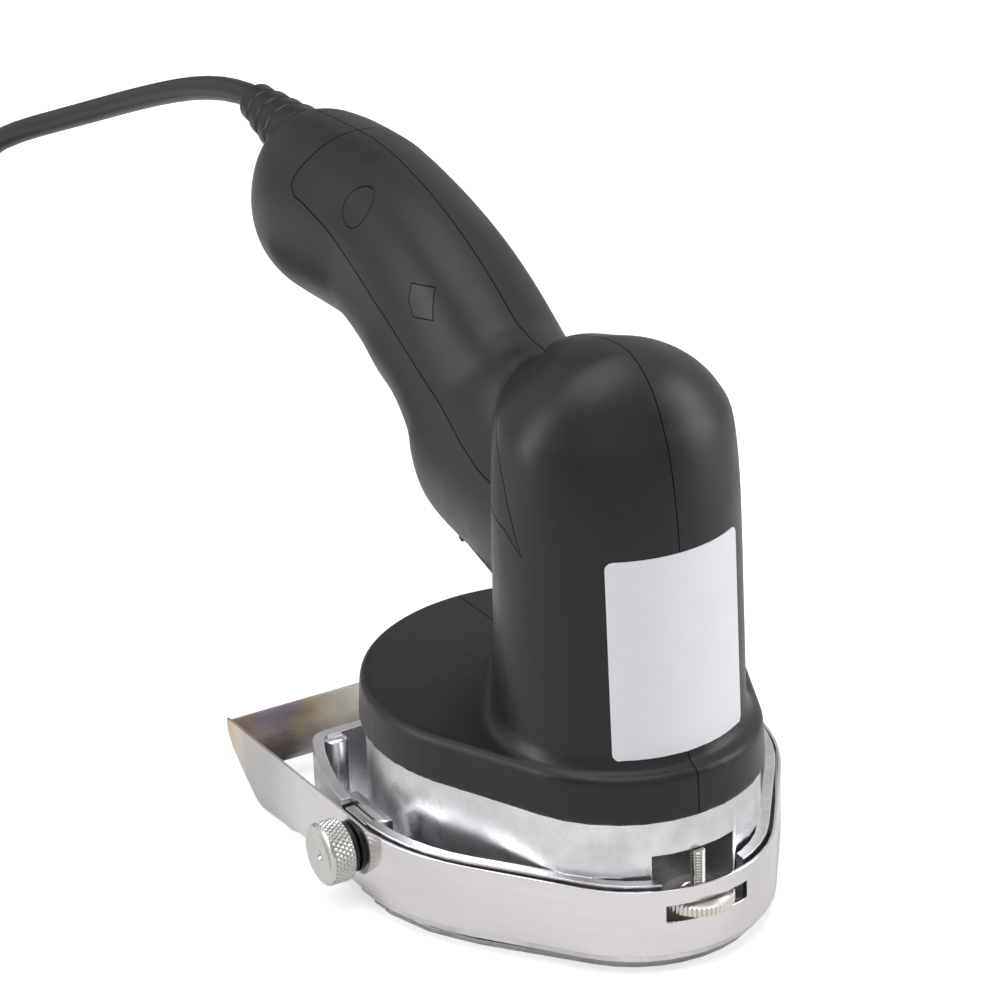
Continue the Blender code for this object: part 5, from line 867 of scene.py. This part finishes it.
outline = [(x * REACH, z * HEIGHT) for x, z in GRIP_OUTLINE]
diamond = [(x * REACH, z * HEIGHT) for x, z in DIAMOND]
round_plug = [(69.7 + 5.2 * math.cos(math.radians(10 * i)), 163.5 + 5.2 * math.sin(math.radians(10 * i)))
              for i in range(36)]
for name, side in (("left", 1), ("right", -1)):
    half = halves[name]
    near, far = side * HALF_GAP, side * 60 * MM
    near, far = min(near, far), max(near, far)
    deep = shrunk(half, 1.1 * MM, "deep")
    grip = carved(copy_of(half, name + "_soft_grip"), prism(drawn_in(outline, SEAM), near, far), "INTERSECT")
    carved(half, carved(prism(outline, near, far), deep, keep=True))
    bpy.data.objects.remove(deep, do_unlink=True)
    if side > 0:
        for spot, points, mark in ((1, diamond, "diamond_plug"), (2, round_plug, "round_plug")):
            stop = carved(copy_of(grip, mark), prism(drawn_in(points, SEAM * 0.6), 2 * MM, far), "INTERSECT")
            carved(grip, prism(points, 2 * MM, far))
            weigh_normals(finish_piece(stop, shell_black, f"screw_plug_{spot}", angle=40))
    weigh_normals(finish_piece(grip, grip_black, name + "_grip", angle=40))
    if side > 0:
        screw_hole = Matrix.Translation(on_axis(3.0, 0, 70.0)) @ Matrix.Rotation(math.radians(-90), 4, "X")
        carved(half, bore(3.2 * MM, 4.5 * MM, 60 * MM, screw_hole, 32))
    weigh_normals(finish_piece(half, shell_black, name + "_shell", angle=40))
print("grip faces:", len(grip.data.polygons))

# %% [markdown]
# The plate at the tower's back is a thin foil with round corners. It starts flat, is cut
# into narrow strips so that it can bend, and each point is then laid on the tower.

# %% Plate at the tower's back
LEVELS = [glide(TOWER_ROWS, i / 400) for i in range(401)]


def on_tower_back(y, z, proud):
    """A point on the tower's back, or a little outside it."""
    level = (z - TOWER_FOOT) / (TOWER_TOP - TOWER_FOOT)
    row = min(LEVELS, key=lambda row: abs(row[0] - level))
    centre, length, width = (value * TOWER_RADIUS for value in row[1:4])
    lean = math.sqrt(max(0.0, 1 - (y / width) ** 2))
    way = Vector((-lean / length, y / width ** 2, 0)).normalized()
    return on_axis(centre - length * lean + way.x * proud, y + way.y * proud, z)


shape = bmesh.new()
PLATE_LOW, PLATE_HIGH = (-20.4, 56.4), (18.6, 110.4)
corners = [PLATE_LOW, (PLATE_HIGH[0], PLATE_LOW[1]), PLATE_HIGH, (PLATE_LOW[0], PLATE_HIGH[1])]
shape.faces.new([shape.verts.new((y, z, 0)) for y, z in corners])
bmesh.ops.bevel(shape, geom=shape.verts[:], affect="VERTICES", offset=2.0, segments=6, profile=0.5, material=-1)
for way, strips in enumerate((26, 18)):
    for step in range(1, strips):
        cut_at = [0, 0, 0]
        cut_at[way] = PLATE_LOW[way] + (PLATE_HIGH[way] - PLATE_LOW[way]) * step / strips
        bmesh.ops.bisect_plane(shape, geom=shape.verts[:] + shape.edges[:] + shape.faces[:],
                               plane_co=cut_at, plane_no=(way == 0, way == 1, 0))
for vert in shape.verts:
    vert.co = on_tower_back(vert.co.x, vert.co.y, 0.25)
foil = to_object("back_plate", shape)
if foil.data.polygons[0].normal.x > 0:
    foil.data.flip_normals()
applied(foil, "SOLIDIFY", thickness=0.5 * MM, offset=-1)
finish_piece(foil, foil_white, like="left_shell", angle=30)
print("plate in mm:", PLATE_HIGH[0] - PLATE_LOW[0], "by", PLATE_HIGH[1] - PLATE_LOW[1])

# %% [markdown]
# The casting keeps its CAD shape. What the CAD leaves out is the full, rounded bead of its
# rim, so the edges at the rim's height get a wide bevel.

# %% Casting
def rim_rounded(shape):
    high = 24.9 * MM
    rim = [edge for edge in shape.edges
           if all(vert.co.z > high and vert.co.z < 25.1 * MM for vert in edge.verts)
           and len(edge.link_faces) == 2 and edge.calc_face_angle(0) > math.radians(60)]
    bmesh.ops.bevel(shape, geom=rim, affect="EDGES", offset=1.15 * MM, segments=5, profile=0.5, material=-1,
                    clamp_overlap=True)
    return len(rim)


shape = merged_copy("gear_housing")
print("rim edges rounded:", rim_rounded(shape))
casting = finish_piece(to_object("gear_housing_dressed", shape), housing_cast, "gear_housing", angle=38)
weigh_normals(casting)

# %% [markdown]
# The guard is a bent sheet, so its edges are only broken by a fraction of a millimetre.
# The shoe plate, the blade and the other machined pieces are softened in the same way.

# %% Guard and machined pieces
dressed("guard", sheet_steel, 0.16 * MM, 30)
dressed("shoe_plate", blade_steel, 0.35 * MM)
dressed("blade", blade_steel, 0.05 * MM)
for node in ("blade_flange", "blade_nut", "spindle", "right_thumbscrew", "left_guard_nut", "right_guard_nut"):
    dressed(node, turned_steel, 0.25 * MM)
for node in ("left_washer", "right_washer"):
    dressed(node, plain_black, 0.2 * MM)
dressed("gear_plate", plate_cast, 0.3 * MM)

# %% [markdown]
# A thumbscrew is held by its knurl, two sets of fine grooves that cross in diamonds. A
# grid is wrapped round the knob, and each point sinks where the grooves pass.

# %% Knurled thumbscrew
PIVOT = on_axis(4.0, 0, 15.0)
KNOB_NEAR, KNOB_FAR, KNOB_RADIUS = 62.7, 69.5, 8.6


def ridge(value):
    """A saw that rises and falls between nothing and one."""
    return abs(2 * (value % 1) - 1)


KNOB_ROWS = [(0.0, 0.0), (0.0, 7.9), (0.15, 8.2)]
KNOB_ENDS = [
    (6.15, 8.35), (6.45, 8.1), (6.8, 7.5), (6.8, 6.6), (6.62, 6.3), (6.62, 1.5), (6.1, 0.9), (6.1, 0.0),
]


def knob_point(turn, share):
    place = round(share * 40)
    if place < 3:
        depth, radius = KNOB_ROWS[place]
    elif place > 32:
        depth, radius = KNOB_ENDS[place - 33]
    else:
        depth = 0.35 + 5.6 * (place - 3) / 29
        rise = min(ridge(turn * 38 + depth / 2.0), ridge(turn * 38 - depth / 2.0))
        radius = KNOB_RADIUS - 0.5 + 0.5 * rise
    angle = turn * 2 * math.pi
    return PIVOT + Vector((radius * math.cos(angle), KNOB_NEAR + depth, radius * math.sin(angle))) * MM


knob = to_object("knurled_knob", wrapped(228, 40, knob_point))
finish_piece(knob, knurled_nickel, "left_thumbscrew", angle=40)
across = Matrix.Translation(PIVOT) @ Matrix.Rotation(math.radians(-90), 4, "X")
shank = bore(2.5 * MM, 55.2 * MM, 62.9 * MM, across, 24)
shank.name = "knob_shank"
finish_piece(shank, turned_steel, like="left_thumbscrew", angle=40)
print("knob faces:", len(knob.data.polygons))

# %% [markdown]
# The adjuster is a straight-knurled wheel that runs on a threaded stud. The wheel's grid
# rises and falls around its edge, and the stud's grid follows a helix of 0.8 mm pitch.

# %% Adjuster
STUD = on_axis(-70.5, 0, 0)
WHEEL_LOW, WHEEL_HIGH, WHEEL_RADIUS = 15.4, 18.8, 9.4
WHEEL_ROWS = [
    (0.0, 2.9), (0.0, 7.6), (0.35, 8.9), (0.6, None), (1.3, None), (2.0, None), (2.8, None),
    (3.05, 8.9), (3.4, 7.6), (3.4, 4.6), (3.1, 4.3), (3.1, 2.9), (0.0, 2.9),
]


def wheel_point(turn, share):
    depth, radius = WHEEL_ROWS[round(share * 12)]
    if radius is None:
        radius = WHEEL_RADIUS - 0.45 + 0.45 * min(1, 1.7 * ridge(turn * 46))
    angle = turn * 2 * math.pi
    return STUD + Vector((radius * math.cos(angle), radius * math.sin(angle), WHEEL_LOW + depth)) * MM


def stud_point(turn, share):
    height = 8.6 + 21.9 * share
    groove = ridge((height / 0.8 - turn) % 1)
    radius = 2.0 - 0.5 * (1 - groove)
    if share < 0.004 or share > 0.996:
        radius = 1.5
    angle = turn * 2 * math.pi
    return STUD + Vector((radius * math.cos(angle), radius * math.sin(angle), height)) * MM


wheel = to_object("knurled_wheel", wrapped(276, 12, wheel_point))
finish_piece(wheel, wheel_cream, "adjuster_wheel", angle=40)
stud = to_object("threaded_stud", wrapped(28, 250, stud_point))
finish_piece(stud, turned_steel, "adjuster_stud", angle=60)
print("wheel and stud faces:", len(wheel.data.polygons), len(stud.data.polygons))

# %% [markdown]
# The switch has a plain black frame and a glossy rocker with a raised nub for the finger.
# The screws get a driver's recess, cut as a cross into each head.

# %% Switch and screws
dressed("switch_body", plain_black, 0.45 * MM)
dressed("switch_rocker", gloss_black, 0.4 * MM)


def cross_headed(node, axis, head, radius):
    """A screw with a cross recess, whose head's face is at head along its axis."""
    thing = to_object(node + "_cross", merged_copy(node))
    for bar in (0, 90):
        wide, deep = radius * 0.62, radius * 0.35
        turned_bar = Matrix.Translation(head) @ axis @ Matrix.Rotation(math.radians(bar + 20), 4, "Z")
        carved(thing, block((-wide, -radius * 0.14, -deep), (wide, radius * 0.14, deep), turned_bar))
    return weigh_normals(finish_piece(thing, turned_steel, node, angle=34))


level = Matrix.Rotation(math.radians(90), 4, "X")
upright = Matrix()
for node, axis in [("shell_screw_3", level)] + [(f"shoe_screw_{i}", upright) for i in (1, 2, 3, 4)] \
        + [(f"cover_screw_{i}", upright) for i in (1, 2)]:
    low, high = (Vector(corner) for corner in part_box(node))
    middle = (low + high) / 2
    if axis is level:
        cross_headed(node, axis, Vector((middle.x, high.y, middle.z)), 2.9 * MM)
    else:
        cross_headed(node, axis, Vector((middle.x, middle.y, low.z)), min(high.x - low.x, high.y - low.y) / 2)

# %% [markdown]
# Everything else is inside the housing. Those solids keep their CAD shape and are given
# the finish of their material, so that the tool also looks right when it is opened.

# %% Pieces inside
INSIDE = {
    "turned_steel": turned_steel, "gear_steel": oiled_steel, "motor_steel": zinc_steel, "brass": bronze,
    "magnet_ferrite": ferrite, "moulded_black": plain_black, "board_green": board_green,
    "cast_metal": plate_cast, "blade_steel": blade_steel, "soft_grip": plain_black,
    "cord_plastic": plain_black, "black_plastic": shell_black, "rocker_gloss": gloss_black,
    "sheet_steel": sheet_steel,
}
kept = 0
for node, thing in nodes.items():
    thing.data.materials.clear()
    thing.data.materials.append(INSIDE[SLOTS[node]])
    kept += not thing.hide_render
print("solids that stay as they are:", kept)

# %% [markdown]
# The tool stands on a white table in a bright, even room. The camera sees plain white
# behind it, and polished metal sees the room: white overhead and at the sides, with the
# darker gaps between the soft lamps that give chrome its contrast.

# %% Room and lamps
SKY = 0.55
world = bpy.data.worlds.new("studio")
bpy.context.scene.world = world
sky = Finish("studio", world)
toward = sky.node("ShaderNodeTexCoord", output="Generated")
parts = [sky.node("ShaderNodeSeparateXYZ", None, {0: toward}, output) for output in range(3)]
around = parts[1].sum("ARCTAN2", parts[1], parts[0])
bands = sky.ramp((around + math.pi) / (2 * math.pi), (0.0, 0.85), (0.10, 0.30), (0.20, 0.95), (0.36, 0.9),
                 (0.46, 0.25), (0.56, 0.8), (0.70, 0.95), (0.80, 0.35), (0.90, 0.8), (1.0, 0.85))
height = sky.ramp(parts[2], (0.0, 0.55), (0.12, 0.75), (0.45, 1.0))
room = sky.node("ShaderNodeBackground", None, {"Color": bands, "Strength": height})
even = sky.node("ShaderNodeBackground", None, {"Color": shade(1.0), "Strength": SKY})
seen = sky.node("ShaderNodeBackground", None, {"Color": shade(1.0), "Strength": 1.0})
rays = {kind: sky.node("ShaderNodeLightPath", output=kind)
        for kind in ("Is Camera Ray", "Is Glossy Ray", "Is Transmission Ray")}
shiny = rays["Is Glossy Ray"].sum("MAXIMUM", rays["Is Glossy Ray"], rays["Is Transmission Ray"])
glossy = sky.node("ShaderNodeMixShader", None, {0: shiny, 1: even, 2: room})
sky.ends(sky.node("ShaderNodeMixShader", None, {0: rays["Is Camera Ray"], 1: glossy, 2: seen}))


def lamp(name, place, aim, width, height, power):
    data = bpy.data.lights.new(name, "AREA")
    data.shape = "RECTANGLE"
    data.size = width
    data.size_y = height
    data.energy = power
    made = linked(name, data)
    back = (Vector(place) - Vector(aim)).normalized()
    made.matrix_world = Matrix.Translation(place) @ back.to_track_quat("Z", "Y").to_matrix().to_4x4()
    return made


centre = Vector((0.06, 0, 0.08))
lamp("overhead", (0.06, 0.1, 1.15), centre, 0.9, 0.9, 5.5)
lamp("left_box", (0.41, 1.05, 0.45), centre, 0.5, 0.9, 5.0)
lamp("right_box", (-0.44, -0.95, 0.5), centre, 0.5, 0.9, 5.0)

shape = bmesh.new()
bmesh.ops.create_grid(shape, x_segments=1, y_segments=1, size=3.0)
floor = to_object("floor", shape)
floor.location.z = -0.05 * MM
ground = Finish("floor")
matt = ground.node("ShaderNodeBsdfDiffuse", None, {"Color": shade(0.82)})
glow = ground.node("ShaderNodeEmission", None, {"Color": shade(1.0), "Strength": 0.5})
added = ground.node("ShaderNodeAddShader", None, {0: matt, 1: glow})
floor_ray = ground.node("ShaderNodeLightPath", output="Is Camera Ray")
white = ground.node("ShaderNodeMixShader", None, {0: floor_ray, 1: matt, 2: added})
floor.data.materials.append(ground.ends(white))
bpy.context.scene.view_settings.view_transform = "Standard"
